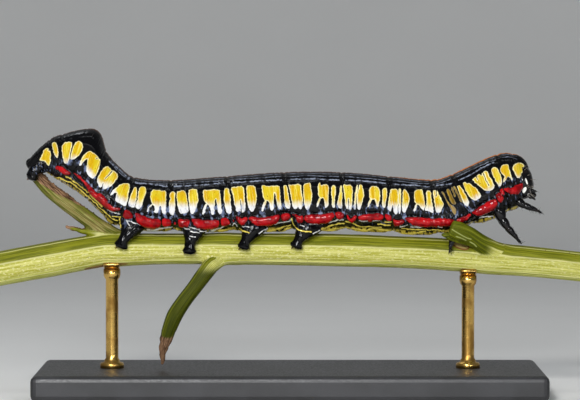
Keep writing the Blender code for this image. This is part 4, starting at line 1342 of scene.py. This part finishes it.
def skin_finish():
    """Glossy black cuticle with yellow and white bars, a red stripe and fine pale lines."""
    look = Finish("larva_cuticle")
    place = look.place()
    spot = look.attribute("body_spot", "Vector")
    angle, bar, red, white_end = map(look.attribute, ("round", "bar", "red", "white_end"))
    fine = look.noise(place, 9.0, 3.0)
    streaks = look.noise(spot, (3.6, 0.7, 1.0), 3.0)
    wisps = look.noise(spot, (4.0, 1.5, 1.0), 2.5)
    threads = look.noise(spot, (11.0, 0.5, 1.0))
    on_bar, on_red = look.ease(bar, -0.3, 0.3), look.ease(red, -0.3, 0.3)

    # Black skin, with bluish highlights painted into its colour low on the side, under the bars and above the
    # red pieces: a painted sheen of glossy wrinkles
    black = look.tones(fine, 0.35, 0.75, (2, 2, 3), (7, 7, 10))
    painted_glint = look.times(look.band(angle, -52, -40, -22, -6), look.ease(wisps, 0.58, 0.66, 0.0, 0.4))
    under_bars = look.times(look.ease(bar, -3.4, -0.6), look.ease(white_end, -0.2, 1.2))
    painted_sheen = look.times(under_bars, look.ease(wisps, 0.53, 0.58, 0.0, 0.6))
    colour = look.mix(look.most(painted_glint, painted_sheen), black, srgb(122, 136, 172))
    # A painted highlight along the fold just above the red pieces
    above_red = look.times(look.band(red, -3.4, -2.0, -1.1, -0.5), look.ease(angle, -44, -34))
    painted_crest_sheen = look.times(above_red, look.ease(wisps, 0.53, 0.64, 0.0, 0.55))
    colour = look.mix(painted_crest_sheen, colour, srgb(140, 150, 178))

    # Yellowish streaks on the belly, the orange stripe on the back and the pinstripes
    belly = look.times(look.ease(angle, -58, -66), look.ease(streaks, 0.42, 0.52, 0.0, 0.9))
    belly = look.times(belly, look.ease(look.attribute("leg"), 0.4, 0.0))
    colour = look.mix(belly, colour, srgb(186, 164, 62))
    to_front = look.ease(look.attribute("place"), 8.6, 10.2, 0.10, 0.85)
    orange = look.times(look.ease(look.attribute("orange"), -0.6, 0.5), to_front)
    colour = look.mix(orange, colour, srgb(226, 128, 10))
    broken = look.ease(streaks, 0.38, 0.55, 0.08, 0.9)
    pinstripe = look.times(look.ease(look.attribute("pinstripe"), -0.45, 0.35), broken)
    colour = look.mix(pinstripe, colour, srgb(138, 146, 164))

    # Bars: deep yellow in the middle, pale at the rim, white at the lower end, with painted shade in the
    # front fold
    patches = look.ease(look.noise(spot, (2.2, 0.6, 1.0)), 0.36, 0.62)
    yellow = look.mix(patches, srgb(194, 172, 26), srgb(188, 148, 0))
    yellow = look.tint(yellow, threads, 0.50, 0.68, 0.55, (222, 200, 96))
    yellow = look.tint(yellow, threads, 0.44, 0.30, 0.30, (196, 140, 10))
    yellow = look.tint(yellow, look.noise(place, 8.0, 1.0), 0.70, 0.75, 0.75, (64, 44, 8))
    rim = look.plus(bar, look.times(threads, -1.8))
    yellow = look.tint(yellow, rim, 0.3, -0.7, 0.8, (230, 224, 178))
    white = look.tones(wisps, 0.50, 0.66, (212, 212, 212), (176, 178, 186))
    lowered = look.plus(white_end, look.times(threads, 3.4))
    yellow = look.mix(look.ease(lowered, -0.4, 4.4), yellow, white)
    # Painted shade: the bars in the front fold turn a dull, dark ochre
    fold_shade = look.mix(patches, srgb(150, 118, 22), srgb(86, 62, 8))
    yellow = look.mix(look.ease(look.attribute("fold_shade"), -0.4, 0.2, 0.0, 0.9), yellow, fold_shade)
    colour = look.mix(on_bar, colour, yellow)

    # Red pieces, pale lines and breathing holes; the bluish-grey ring round each hole is a painted highlight
    # on its rim
    scarlet = look.tones(look.noise(place, 1.6), 0.35, 0.65, (112, 2, 8), (166, 12, 18))
    colour = look.mix(on_red, colour, scarlet)
    colour = look.tint(colour, look.attribute("white_line"), -0.35, 0.3, 0.9, (238, 238, 236))
    colour = look.tint(colour, look.attribute("yellow_line"), -0.35, 0.3, 0.95, (228, 206, 92))
    spiracle = look.attribute("spiracle")
    colour = look.mix(look.band(spiracle, -0.5, 0.1, 0.3, 0.9), colour, srgb(58, 62, 74))
    colour = look.tint(colour, spiracle, 0.5, 1.0, 1.0, (5, 5, 6))

    # Bars are matt, and so is the skin between them and on the crown of the back
    rough = look.ease(fine, 0.3, 0.7, 0.07, 0.13)
    rough = look.plus(rough, look.times(on_bar, 0.66))
    rough = look.plus(rough, look.times(on_red, -0.05))
    rough = look.most(rough, look.band(angle, -12, -3, 26, 33))
    rough = look.most(rough, look.ease(angle, 48, 66, 0.0, 0.45))
    height = look.plus(look.times(look.noise(place, 20.0), 0.10), look.noise(spot, (5.5, 1.8, 1.0), 2.5))
    calm = look.plus(1.0, look.times(on_red, -0.95))
    look.set(base_color=colour, roughness=rough, specular_ior_level=0.2,
             normal=look.bump(look.times(height, calm), 0.55, 0.05))
    return look.material


def horn_finish(marked=False):
    """Shiny black horn of the head and legs, with a fine leathery grain. The head has white marks."""
    look = Finish("larva_head_horn" if marked else "larva_horn")
    place = look.place()
    fine = look.noise(place, 12.0, 3.0)
    colour = look.tones(fine, 0.4, 0.7, (3, 3, 4), (14, 13, 16))
    colour = look.tint(colour, look.noise(place, 1.8), 0.52, 0.72, 0.45, (36, 26, 22))
    if marked:
        colour = look.tint(colour, look.attribute("white_mark"), -0.35, 0.35, 1.0, (240, 238, 230))
    look.set(base_color=colour, roughness=look.ease(fine, 0.3, 0.7, 0.06, 0.12), specular_ior_level=0.3,
             normal=look.bump(look.noise(place, 7.0, 2.5), 0.16, 0.05))
    return look.material


def head_axes():
    """Middle of the body's front end and the head's axes: forward, left and up."""
    middle, half, _ = section_at([len(SEGMENTS)])
    up = unit((half[0, 0], 0.0, half[0, 1]))
    forward = np.array((up[2], 0.0, -up[0]))
    middle = np.array((middle[0, 0], 0.0, middle[0, 1]))
    middle += HEAD_SHIFT[0] * forward + HEAD_SHIFT[1] * up
    return middle, np.array((forward, (0.0, 1.0, 0.0), up))


def head_point(forward, left, up):
    middle, axes = head_axes()
    return middle + np.array((forward, left, up)) @ axes


def head_lobe(row, side=1, sides=20, rings=12):
    """An ellipsoid from a row in the head's axes, on one side."""
    forward, left, up, *radii = row
    return ellipsoid(head_point(forward, side * left, up), head_axes()[1], radii, sides, rings)


def head_line(rows, side):
    """Rows of a line in the head's axes, on one side, as rows of X, Y, Z and radius."""
    return [(*head_point(forward, side * left, up), radius) for forward, left, up, radius in rows]


def head_tube(rows, side, sides):
    line = [(*row, row[-1]) for row in head_line(rows, side)]
    return tube(smooth_path(line), sides, (False, True))


def cheek_point(turn, rise, side, share=1.0):
    """A point of a cheek's lobe, turned forward and raised, and the way out of it, in the head's axes."""
    forward, left, up, *radii = HEAD_LOBES[0]
    flat = math.cos(rise)
    way = np.array((flat * math.sin(turn), side * flat * math.cos(turn), math.sin(rise)))
    return np.array((forward, side * left, up)) + way * radii * share, way


def build_head(horn):
    """Two cheek lobes with the triangle of the face between them, white marks, and the mouth."""
    middle, axes = head_axes()
    shells = [head_lobe(row, 1, 36, 22) for row in HEAD_LOBES]
    head = fused("head_capsule", shells, HEAD_VOXEL, HEAD_ROUNDS)
    points = read_points(head.data)
    local = (points - middle) @ axes.T
    face = np.stack([np.abs(local[:, 1]), local[:, 2]], axis=1)
    relief = sum(ridge(line_distance(face, np.array(groove)), FACE_GROOVE) for groove in FACE_GROOVES)
    relief *= step(local[:, 0], *FACE_FRONT)
    for wrinkle in FACE_WRINKLES:
        relief += wrinkled(points, wrinkle)
    raise_skin(head.data, points, relief)
    store(head.data, "white_mark", marking(photo_place(points), HEAD_WHITES))
    finish_piece(head, horn_finish(True), "horn", "head")

    parts = [head_lobe(row) for row in LIPS]
    for side in SIDES:
        parts += [head_lobe(row, side) for row in JAWS]
        parts.append(head_tube(PALP, side, 12))
    parts.append(head_tube(SPINNERET, 1, 10))
    finish_piece(mesh_object("mouthparts", parts), horn, "horn")


def build_eyes():
    """Six simple eyes in a bow low on each cheek."""
    finish = speckled("larva_eyes", 14.0, (8, 6, 6), (40, 28, 20), roughness=0.05, coat_weight=1.0,
                      coat_roughness=0.02)
    _, axes = head_axes()
    for side, name in zip(SIDES, ("eyes_right", "eyes_left")):
        beads = []
        for k in range(EYES_PER_SIDE):
            bow = math.sin(math.pi * k / (EYES_PER_SIDE - 1))
            turn, rise = math.radians(EYE_TURN + EYE_BOW * bow), math.radians(EYE_TOP - EYE_STEP * k)
            spot, _ = cheek_point(turn, rise, side)
            beads.append(ellipsoid(head_point(*spot), axes, (EYE_RADIUS,) * 3, 20, 14))
        finish_piece(mesh_object(name, beads), finish, "horn")


def jointed(joints, sides=22):
    """Limb sections between joints, each swollen in the middle and set into the one before."""
    shells = []
    for (*start, first), (*end, last) in zip(joints, joints[1:]):
        start, end = np.array(start), np.array(end)
        rows = []
        for t in np.linspace(0.0, 1.0, LIMB_RINGS):
            radius = first * LIMB_START * (1 - t) + last * LIMB_END * t
            swell = math.sin(math.pi * (LIMB_SWELL_RUN[0] + LIMB_SWELL_RUN[1] * t)) ** LIMB_SWELL_POWER
            radius *= LIMB_WAIST + LIMB_SWELL * swell
            bend = LIMB_BEND * math.sin(math.pi * t)
            middle = start + (end - start) * t + np.array((0, 0, bend))
            rows.append((*middle, radius, radius * LIMB_DEPTH))
        shells.append(tube(rows, sides, (True, True)))
    return shells


def spine(root, direction, length, droop, radii, sides):
    """A pointed tube with the given radii, which droops as it goes."""
    root, direction = np.array(root), unit(direction)
    rows = []
    for t, radius in zip(np.linspace(0, 1, len(radii)), radii):
        drop = np.array((0.0, 0.0, -droop * length * t * t))
        rows.append((*(root + direction * length * t + drop), radius, radius))
    return tube(rows, sides)


def claw(root, direction, length, radius):
    """A curved, pointed hook."""
    radii = radius * (1 - np.linspace(0, 1, 10)) ** 0.7 + 0.006
    return spine(root, direction, length, CLAW_DROOP, radii, 12)


def bristle(root, direction, length, radius):
    """A fine tapered hair."""
    radii = radius * (1 - 0.85 * np.linspace(0, 1, 6))
    return spine(root, direction, length, BRISTLE_DROOP, radii, 6)


def build_legs(horn):
    """Three pairs of jointed legs with hooked claws and a few bristles."""
    chance = random.Random(SEED)
    for leg_name, joints in LEG_JOINTS.items():
        for side, line in zip(("right", "left"), both_sides(joints)):
            shells = jointed(line)
            tip, before = np.array(line[-2][:3]), np.array(line[-3][:3])
            shells.append(claw(tip, tip - before, *CLAW))
            for (*start, radius), (*end, _) in zip(line[1:-1], line[2:]):
                for _ in range(LEG_BRISTLES):
                    share = chance.uniform(0.3, 0.95)
                    root = np.array(start) * (1 - share) + np.array(end) * share
                    way = (chance.uniform(0.2, 1), chance.uniform(-1, 1), chance.uniform(-1, 0.5))
                    shells.append(bristle(root, way, radius * 0.8 + 0.34, LEG_BRISTLE_RADIUS))
            name = f"{leg_name}_{side}"
            finish_piece(mesh_object(f"{name}_shell", shells), horn, "horn", name)


def build_antennae(horn):
    for side, name in zip(SIDES, ("antenna_right", "antenna_left")):
        joints = head_line(ANTENNA_JOINTS, side)
        tip, before = np.array(joints[-1][:3]), np.array(joints[-2][:3])
        shells = [*jointed(joints, 18), bristle(tip, tip - before, *ANTENNA_BRISTLE)]
        finish_piece(mesh_object(f"{name}_shell", shells), horn, "horn", name)


def build_hairs():
    """Sparse pale bristles on the head and short dark ones along the body."""
    chance = random.Random(SEED + 1)
    _, axes = head_axes()
    shells = []
    for _ in range(HEAD_BRISTLES):
        side = chance.choice(SIDES)
        turn, rise = chance.uniform(-0.2, 1.3), chance.uniform(-1.0, 1.1)
        spot, way = cheek_point(turn, rise, side, 0.98)
        shells.append(bristle(head_point(*spot), way @ axes + np.array((0.5, 0, -0.1)), *HEAD_BRISTLE))
    pale = speckled("larva_bristles", 6.0, (176, 166, 150), (96, 88, 80), roughness=0.4)
    finish_piece(mesh_object("head_bristles", shells), pale, "horn")

    shells = []
    for number in range(len(SEGMENTS) - 1):
        for part, angle in BODY_BRISTLE_SPOTS:
            for side in SIDES:
                where = number + part + chance.uniform(-0.05, 0.05)
                root, way = surface_point(where, angle + chance.uniform(-4, 4), side)
                lean = way + np.array((0.15, 0, 0.1))
                shells.append(bristle(root - way * 0.05, lean, *BODY_BRISTLE))
    dark = speckled("larva_dark_bristles", 6.0, (22, 20, 20), (70, 64, 60), roughness=0.35)
    finish_piece(mesh_object("body_bristles", shells), dark, "cuticle")


def surface_point(place, angle, side):
    """A point on the body's surface and the way out from it."""
    middle, half, width = section_at([place])
    across, rise = squared(np.cos(math.radians(angle))), squared(np.sin(math.radians(angle)))
    offset = np.array((half[0, 0] * rise, across * width[0] * side, half[0, 1] * rise))
    return np.array((middle[0, 0], 0.0, middle[0, 1])) + offset * fold_scale(place), unit(offset)


def build_crochets():
    """Rows of small brown hooks on the inner rim of each proleg's foot."""
    shells = []
    for rows in PROLEG_LINES.values():
        for line in both_sides(rows):
            *foot, wide, deep = line[-1]
            inward = -math.copysign(1.0, foot[1])
            for k in range(CROCHETS_PER_FOOT):
                turn = math.pi * (k + CROCHET_MARGIN) / (CROCHETS_PER_FOOT + 2 * CROCHET_MARGIN - 1)
                out, back = math.cos(turn), inward * math.sin(turn)
                root = np.array(foot) + np.array((out * wide * 0.8, back * deep * 0.8, -0.14))
                shells.append(claw(root, (out * 0.5, back, -0.7), *CROCHET))
    brown = speckled("larva_crochets", 16.0, (58, 34, 16), (110, 70, 34), roughness=0.3)
    finish_piece(mesh_object("crochets", shells), brown, "horn")


def stem_rows():
    return smooth_path([(x, 0.0, z, radius, radius) for x, z, radius in STEM_LINE], STEM_STEPS)


def branch_places(points, rows):
    """For points near a branch: length along it in mm, angle round it and distance over radius."""
    lengths = np.linalg.norm(np.diff(rows[:, :3], axis=0), axis=1)
    from_start = np.concatenate([[0], np.cumsum(lengths)])
    best = np.full(len(points), np.inf)
    along = np.zeros(len(points))
    angle = np.zeros(len(points))
    for i in range(len(rows) - 1):
        start, run = rows[i, :3], rows[i + 1, :3] - rows[i, :3]
        t = np.clip((points - start) @ run / (run @ run), 0, 1)
        offset = points - start - t[:, None] * run
        radius = rows[i, 3] * (1 - t) + rows[i + 1, 3] * t
        distance = np.linalg.norm(offset, axis=1) / radius
        up, across = cross_axes(unit(run))
        up = up if up[2] > 0 or abs(up[2]) < 1e-6 else -up
        turned = np.degrees(np.arctan2(offset @ up, np.maximum(np.abs(offset @ across), 1e-6)))
        closer = distance < best
        best[closer] = distance[closer]
        along[closer] = (from_start[i] + t * lengths[i])[closer]
        angle[closer] = turned[closer]
    return along, angle, best


def shoot_shares(near):
    """How much each point belongs to each shoot, from its distance over radius for each line."""
    stem = near["stem"]
    return {
        "stump": step(stem - near["stump"], 0.0, 0.35),
        "twig": step(stem - near["twig"], 0.05, 0.5),
        "leaf": step(stem - np.minimum(near["leaf"], near["tongue"]), 0.0, 0.35),
        "bract": step(np.minimum(stem, near["stump"]) - near["bract"], 0.0, 0.2),
    }


def dryness(points, share, stump_angle):
    """How withered the skin is: at the tips of the twig and the bract and on top of the stump's end."""
    x, _, z = points.T
    twig = share["twig"] * step(z - 0.5 * noise_at(points, 0.5, 3.0), *DRY_TWIG)
    taper = DRY_TAPER * np.maximum(DRY_TAPER_TOP - z, 0)
    upper_side = step(stump_angle + 14 * noise_at(points, 0.5, 12.0) - taper, *DRY_SIDE)
    stump = share["stump"] * step(z + 0.5 * noise_at(points, 0.6, 2.0), *DRY_STUMP) * upper_side
    bract = share["bract"] * step(x, *DRY_BRACT) * 0.8
    return np.maximum.reduce([twig, stump, bract])


def perch_relief(points, along, angle, places, share, dried):
    """Fine ribs, sharper ridges, swellings at the nodes, and the crumpled and toothed dry ends."""
    stem_angle, stump_angle = places["stem"][1], places["stump"][1]
    side = np.sign(points[:, 1])
    on_shoot = np.maximum.reduce(list(share.values()))
    on_stem = 1 - on_shoot
    ribs = np.stack([along * 0.05, angle * 0.16, side * 3], axis=1)
    relief = RIB_RISE * noise_at(ribs, 1.0) * (1 - 0.4 * on_shoot) * (1 - 4 * on_shoot * on_stem)
    for ridge_angle in STEM_RIDGES:
        relief += ridge(stem_angle, (RIDGE_RISE, ridge_angle, RIDGE_WIDTH)) * on_stem
    for node_x, reach in STEM_NODES:
        relief += ridge(points[:, 0], (NODE_RISE, node_x, reach)) * on_stem
    relief += wrinkled(points, STEM_WRINKLE)
    relief += dried * (wrinkled(points * CRUMPLE_STRETCH, CRUMPLE) + wrinkled(points, FINE_CRUMPLE))
    teeth = np.maximum(noise_at(np.stack([along, angle * 0, side], axis=1), TEETH_SIZE), 0)
    teeth *= share["stump"] * step(along, *TEETH_START)
    return relief + teeth * ridge(stump_angle, TEETH_RIDGE)


def build_perch():
    """The cut stem with its stump, twig, leaf base and bract, grown together in one skin."""
    lines = {name: smooth_path(rows, SHOOT_STEPS) for name, rows in SHOOT_LINES.items()}
    lines["stem"] = stem_rows()
    shells = [tube(lines["stem"], STEM_SIDES)]
    shells += [tube(lines[name], SHOOT_SIDES, (False, name == "twig")) for name in SHOOT_LINES]
    perch = fused("perch_skin", shells, PERCH_VOXEL, PERCH_ROUNDS)
    mesh = perch.data
    points = read_points(mesh)
    places = {name: branch_places(points, line) for name, line in lines.items()}
    near = {name: found[2] for name, found in places.items()}
    corner = np.zeros(len(points))
    for name in CORNER_SHOOTS:
        reach = np.maximum(near["stem"], near[name]) - 1
        corner = np.maximum(corner, ridge(reach, (1.0, 0.0, CORNER_REACH)))
    relax(mesh, CORNER_ROUNDS, CORNER_PULL, 0.0, corner)

    points = read_points(mesh)
    share = shoot_shares(near)
    along, angle, _ = places["stem"]
    for name, start in SHOOT_STARTS.items():
        along = np.where(share[name] > 0.5, places[name][0] + start, along)
        angle = np.where(share[name] > 0.5, places[name][1], angle)
    flat_spot = np.stack([along, np.radians(angle) * STEM_RADIUS, np.sign(points[:, 1])], axis=1)
    dried = dryness(points, share, places["stump"][1])
    first, last = lines["stem"][[0, -1], 0]
    at_end = np.minimum(np.abs(points[:, 0] - first), np.abs(points[:, 0] - last))
    cut = step(at_end, *CUT_EDGE)
    raise_skin(mesh, points, perch_relief(points, along, angle, places, share, dried) * (1 - cut))

    x, y, z = points.T
    spots = photo_place(points)
    leaf_blade = share["leaf"] * step(x, *LEAF_BLADE)
    twig_below = share["twig"] * step(z, *TWIG_BELOW)
    bare_front = (y < 0) & (share["leaf"] < 0.3)
    stored = {
        "round": angle,
        "along": along,
        "shoot": np.maximum.reduce([share["stump"], leaf_blade, share["bract"], twig_below]),
        "stump": share["stump"],
        "dried": dried,
        "cut": cut,
        "core": near["stem"],
        "stem_spot": flat_spot,
        "vein_and_highlight": np.where(y < LEAF_FACE, marking(spots, (), LEAF_VEINS_AND_HIGHLIGHT, VEIN_AND_HIGHLIGHT_HALF), FAR_AWAY),
        "scar": np.where(bare_front, marking(spots, (LEAF_SCAR,)), FAR_AWAY),
        "strip": np.where(bare_front, marking(spots, (BARK_STRIP,)), FAR_AWAY),
    }
    for name, values in stored.items():
        store(mesh, name, values)
    nodes = ("perch_stem", "perch_stump", "perch_twig", "perch_leaf_base")
    finish_piece(perch, stem_finish(), "stem", *nodes)


def stem_finish():
    """Yellow-green stem with an olive band above that is painted shade and a cream band along its side that
    is partly a painted highlight, fine streaks, specks and withered brown ends.
    """
    look = Finish("stem_skin")
    place = look.place()
    spot = look.attribute("stem_spot", "Vector")
    angle, along, dried, scar = map(look.attribute, ("round", "along", "dried", "scar"))
    streaks = look.noise(spot, (0.22, 7.0, 1.0), 5.0, 0.65)
    blotches = look.noise(spot, (0.35, 1.2, 1.0), 3.0)
    scurf = look.noise(spot, (3.6, 6.0, 1.0), 4.0, 0.6)

    # The stem is olive above, which is painted shade, cream along its side, partly its own colour and partly
    # a painted highlight band, and green below, with pale ridges
    turned = look.plus(angle, look.times(look.plus(blotches, -0.5), 26.0))
    olive = look.tones(streaks, 0.38, 0.62, (82, 86, 8), (126, 128, 28))
    green = look.tones(streaks, 0.38, 0.62, (150, 154, 48), (204, 204, 122))
    cream = look.tones(streaks, 0.36, 0.64, (150, 148, 46), (196, 192, 114))
    cream = look.tint(cream, scurf, 0.50, 0.68, 0.5, (230, 227, 180))
    colour = look.mix(look.ease(turned, -40, 30), green, olive)
    band = look.times(look.band(turned, -48, -32, 10, 22), look.ease(along, 26, 44, 1.0, 0.7))
    colour = look.mix(band, colour, cream)
    for ridge_angle in STEM_RIDGES:
        colour = look.tint(colour, look.away(angle, ridge_angle), 4.5, 1.0, 0.6, (206, 202, 138))

    # The shoots are darker, most of all the twig, which is painted shade, with a pale upper edge that is a
    # painted highlight, brown scurf and a worn stump
    shoot = look.tones(streaks, 0.38, 0.62, (52, 60, 2), (98, 103, 9))
    twig_shade = look.band(along, TWIG_START - 2, TWIG_START + 2, STUMP_START - 4, STUMP_START - 2)
    shoot = look.mix(look.times(twig_shade, 0.5), shoot, srgb(22, 28, 0))
    shoot = look.tint(shoot, look.away(angle, 52.0), 9.0, 2.0, 0.35, (132, 136, 44))
    shoot = look.tint(shoot, scurf, 0.62, 0.74, 0.5, (86, 66, 24))
    worn = look.times(look.attribute("stump"), look.ease(blotches, 0.44, 0.60, 0.15, 0.85))
    shoot = look.mix(worn, shoot, look.tones(streaks, 0.42, 0.60, (112, 92, 46), (150, 146, 92)))
    colour = look.mix(look.ease(look.attribute("shoot"), 0.1, 0.9), colour, shoot)

    # Veins, the one along the leaf's midrib a painted highlight, specks, pores, withered skin, the leaf scar
    # and the strip of bark
    colour = look.tint(colour, look.attribute("vein_and_highlight"), -0.4, 0.3, 0.75, (176, 182, 108))
    colour = look.tint(colour, look.noise(spot, (2.2, 4.0, 1.0)), 0.70, 0.78, 0.6, (92, 84, 20))
    colour = look.tint(colour, look.noise(place, 5.5), 0.69, 0.75, 0.7, (84, 58, 30))
    crumple = look.noise(spot, (1.1, 5.0, 1.0), 4.0)
    brown = look.tones(crumple, 0.38, 0.66, (52, 32, 18), (150, 116, 88))
    withered = look.plus(dried, look.times(crumple, 0.3))
    colour = look.mix(look.ease(withered, 0.35, 0.75), colour, brown)
    colour = look.tint(colour, scar, -0.2, 0.6, 0.75, (186, 158, 100))
    colour = look.mix(look.band(scar, -1.0, -0.1, 0.3, 1.2), colour, srgb(112, 66, 32))
    colour = look.tint(colour, look.attribute("strip"), -0.6, 0.5, 0.8, (128, 84, 48))

    # The cut faces show a pale pith inside a greener rind
    pith = look.tones(look.attribute("core"), 0.55, 0.9, (226, 222, 186), (150, 156, 70))
    pith = look.tint(pith, look.noise(place, 7.0, 3.0), 0.5, 0.7, 0.5, (186, 176, 122))
    colour = look.mix(look.ease(look.attribute("cut"), 0.3, 0.7), colour, pith)
    look.set(base_color=colour, roughness=look.ease(dried, 0.2, 0.8, 0.5, 0.8), specular_ior_level=0.12,
             normal=look.bump(look.noise(spot, (1.2, 14.0, 1.0), 3.0), 0.6, 0.07))
    return look.material


def lacquer_finish():
    """Satin black lacquer, a little cloudy."""
    look = Finish("stand_lacquer")
    place = look.place()
    grain = look.noise(place, 7.0, 3.0)
    look.set(base_color=look.tones(look.noise(place, 0.3), 0.35, 0.65, (30, 30, 32), (40, 40, 43)),
             roughness=look.ease(grain, 0.35, 0.65, 0.38, 0.52), normal=look.bump(grain, 0.25, 0.02))
    return look.material


def brass_finish():
    """Turned brass, a little tarnished."""
    look = Finish("stand_brass")
    place = look.place()
    tarnish = look.noise(place, 0.9, 3.0)
    look.set(base_color=look.tones(tarnish, 0.4, 0.7, (206, 168, 92), (166, 126, 62)), metallic=1.0,
             roughness=look.ease(tarnish, 0.35, 0.7, 0.22, 0.4),
             normal=look.bump(look.noise(place, (1.0, 1.0, 26.0)), 0.25, 0.02))
    return look.material


def strap(points, wide, thick):
    """A flat band bent along points that lie in one plane across X."""
    ahead = np.gradient(points, axis=0)
    ahead /= np.linalg.norm(ahead, axis=1, keepdims=True)
    across = np.array((1.0, 0.0, 0.0))
    rings = []
    for place, way in zip(points, ahead):
        out = np.cross(across, way)
        ring = []
        for turn in turns(20):
            flat = math.copysign(abs(math.cos(turn)) ** 0.4, math.cos(turn))
            ring.append(place + across * flat * wide + out * math.sin(turn) * thick)
        rings.append(ring)
    return shell(rings)


def build_stand():
    """Satin black base, and brass rods with a foot ring and a cradle that takes the stem."""
    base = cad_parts["stand_base"]
    base.data.materials.clear()
    base.data.materials.append(lacquer_finish())

    brass = brass_finish()
    stem = stem_rows()
    for name in ("stand_rod_rear", "stand_rod_front"):
        low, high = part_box(name)
        x, radius = (low.x + high.x) / 2 / MM, (high.x - low.x) / 2 / MM
        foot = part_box("stand_base")[1].z / MM
        stem_z, stem_radius = (np.interp(x, stem[:, 0], stem[:, column]) for column in (2, 3))
        top = stem_z - stem_radius - CUP_DROP - foot
        profile = ROD_FOOT + tuple((top + rise, wide) for rise, wide in ROD_CUP)
        rows = [(x, 0.0, foot + rise, radius * wide, radius * wide) for rise, wide in profile]
        turn = np.linspace(-CRADLE_TURN, CRADLE_TURN, 21)
        reach = stem_radius + CRADLE_GAP
        arc = np.stack([np.full(21, x), np.sin(turn) * reach, stem_z - np.cos(turn) * reach], axis=1)
        shells = [tube(rows, ROD_SIDES), strap(arc, *CRADLE_HALF)]
        finish_piece(mesh_object(f"{name}_turned", shells), brass, "rod", name)


def build_floor():
    """Pale floor that sweeps up into a wall behind."""
    look = Finish("pale_floor")
    fine = look.noise(look.place(), 0.05)
    look.set(base_color=look.mix(fine, srgb(238, 238, 236), srgb(243, 243, 241)), roughness=0.6)
    rows = [(y, 0.0) for y in np.linspace(FLOOR_FRONT, FLOOR_BACK, 20)]
    for turn in np.linspace(0, math.pi / 2, 16):
        rows.append((FLOOR_BACK + SWEEP_RADIUS * math.sin(turn), SWEEP_RADIUS * (1 - math.cos(turn))))
    rows.append((FLOOR_BACK + SWEEP_RADIUS, WALL_TOP))
    points = [(x, y, z) for y, z in rows for x in (-FLOOR_HALF, FLOOR_HALF)]
    faces = [(2 * i, 2 * i + 1, 2 * i + 3, 2 * i + 2) for i in range(len(rows) - 1)]
    mesh = bpy.data.meshes.new("floor")
    mesh.from_pydata((np.array(points) * MM).tolist(), [], faces)
    mesh.materials.append(look.material)
    mesh.shade_smooth()
    floor = link(bpy.data.objects.new("floor", mesh))


def build_lights():
    """Soft lights on the model's middle, in a dim, bluish world."""
    for name, place, wide, tall, power, colour in LIGHTS:
        light = bpy.data.lights.new(name, "AREA")
        light.shape = "RECTANGLE"
        light.size, light.size_y = wide * MM, tall * MM
        light.energy = power
        light.color = colour
        lamp = link(bpy.data.objects.new(name, light))
        lamp.location = Vector(place) * MM
        aim = Vector((0, 0, AIM_HEIGHT)) - Vector(place)
        lamp.rotation_euler = aim.to_track_quat("-Z", "Y").to_euler()
    world = bpy.data.worlds.new("studio")
    bpy.context.scene.world = world
    world.use_nodes = True
    background = world.node_tree.nodes["Background"].inputs
    background["Color"].default_value = SKY_COLOUR
    background["Strength"].default_value = SKY_STRENGTH


def build_camera():
    """The photograph's camera, a little above the larva's right side."""
    lens = bpy.data.cameras.new("camera")
    lens.sensor_width = SENSOR
    lens.lens = SENSOR * DISTANCE / PICTURE_WIDTH
    lens.clip_start, lens.clip_end = 0.005, 10.0
    camera = link(bpy.data.objects.new("camera", lens))
    back = Vector((0.0, -math.cos(CAMERA_RISE), math.sin(CAMERA_RISE)))
    camera.location = (Vector((0, 0, AIM_HEIGHT)) + back * DISTANCE) * MM
    camera.rotation_euler = (-back).to_track_quat("-Z", "Y").to_euler()
    bpy.context.scene.camera = camera
    bpy.context.scene.view_settings.view_transform = "Standard"


def main():
    build_floor()
    build_lights()
    build_camera()
    horn = horn_finish()
    build_skin()
    build_head(horn)
    build_eyes()
    build_legs(horn)
    build_antennae(horn)
    build_hairs()
    build_crochets()
    build_perch()
    build_stand()


main()
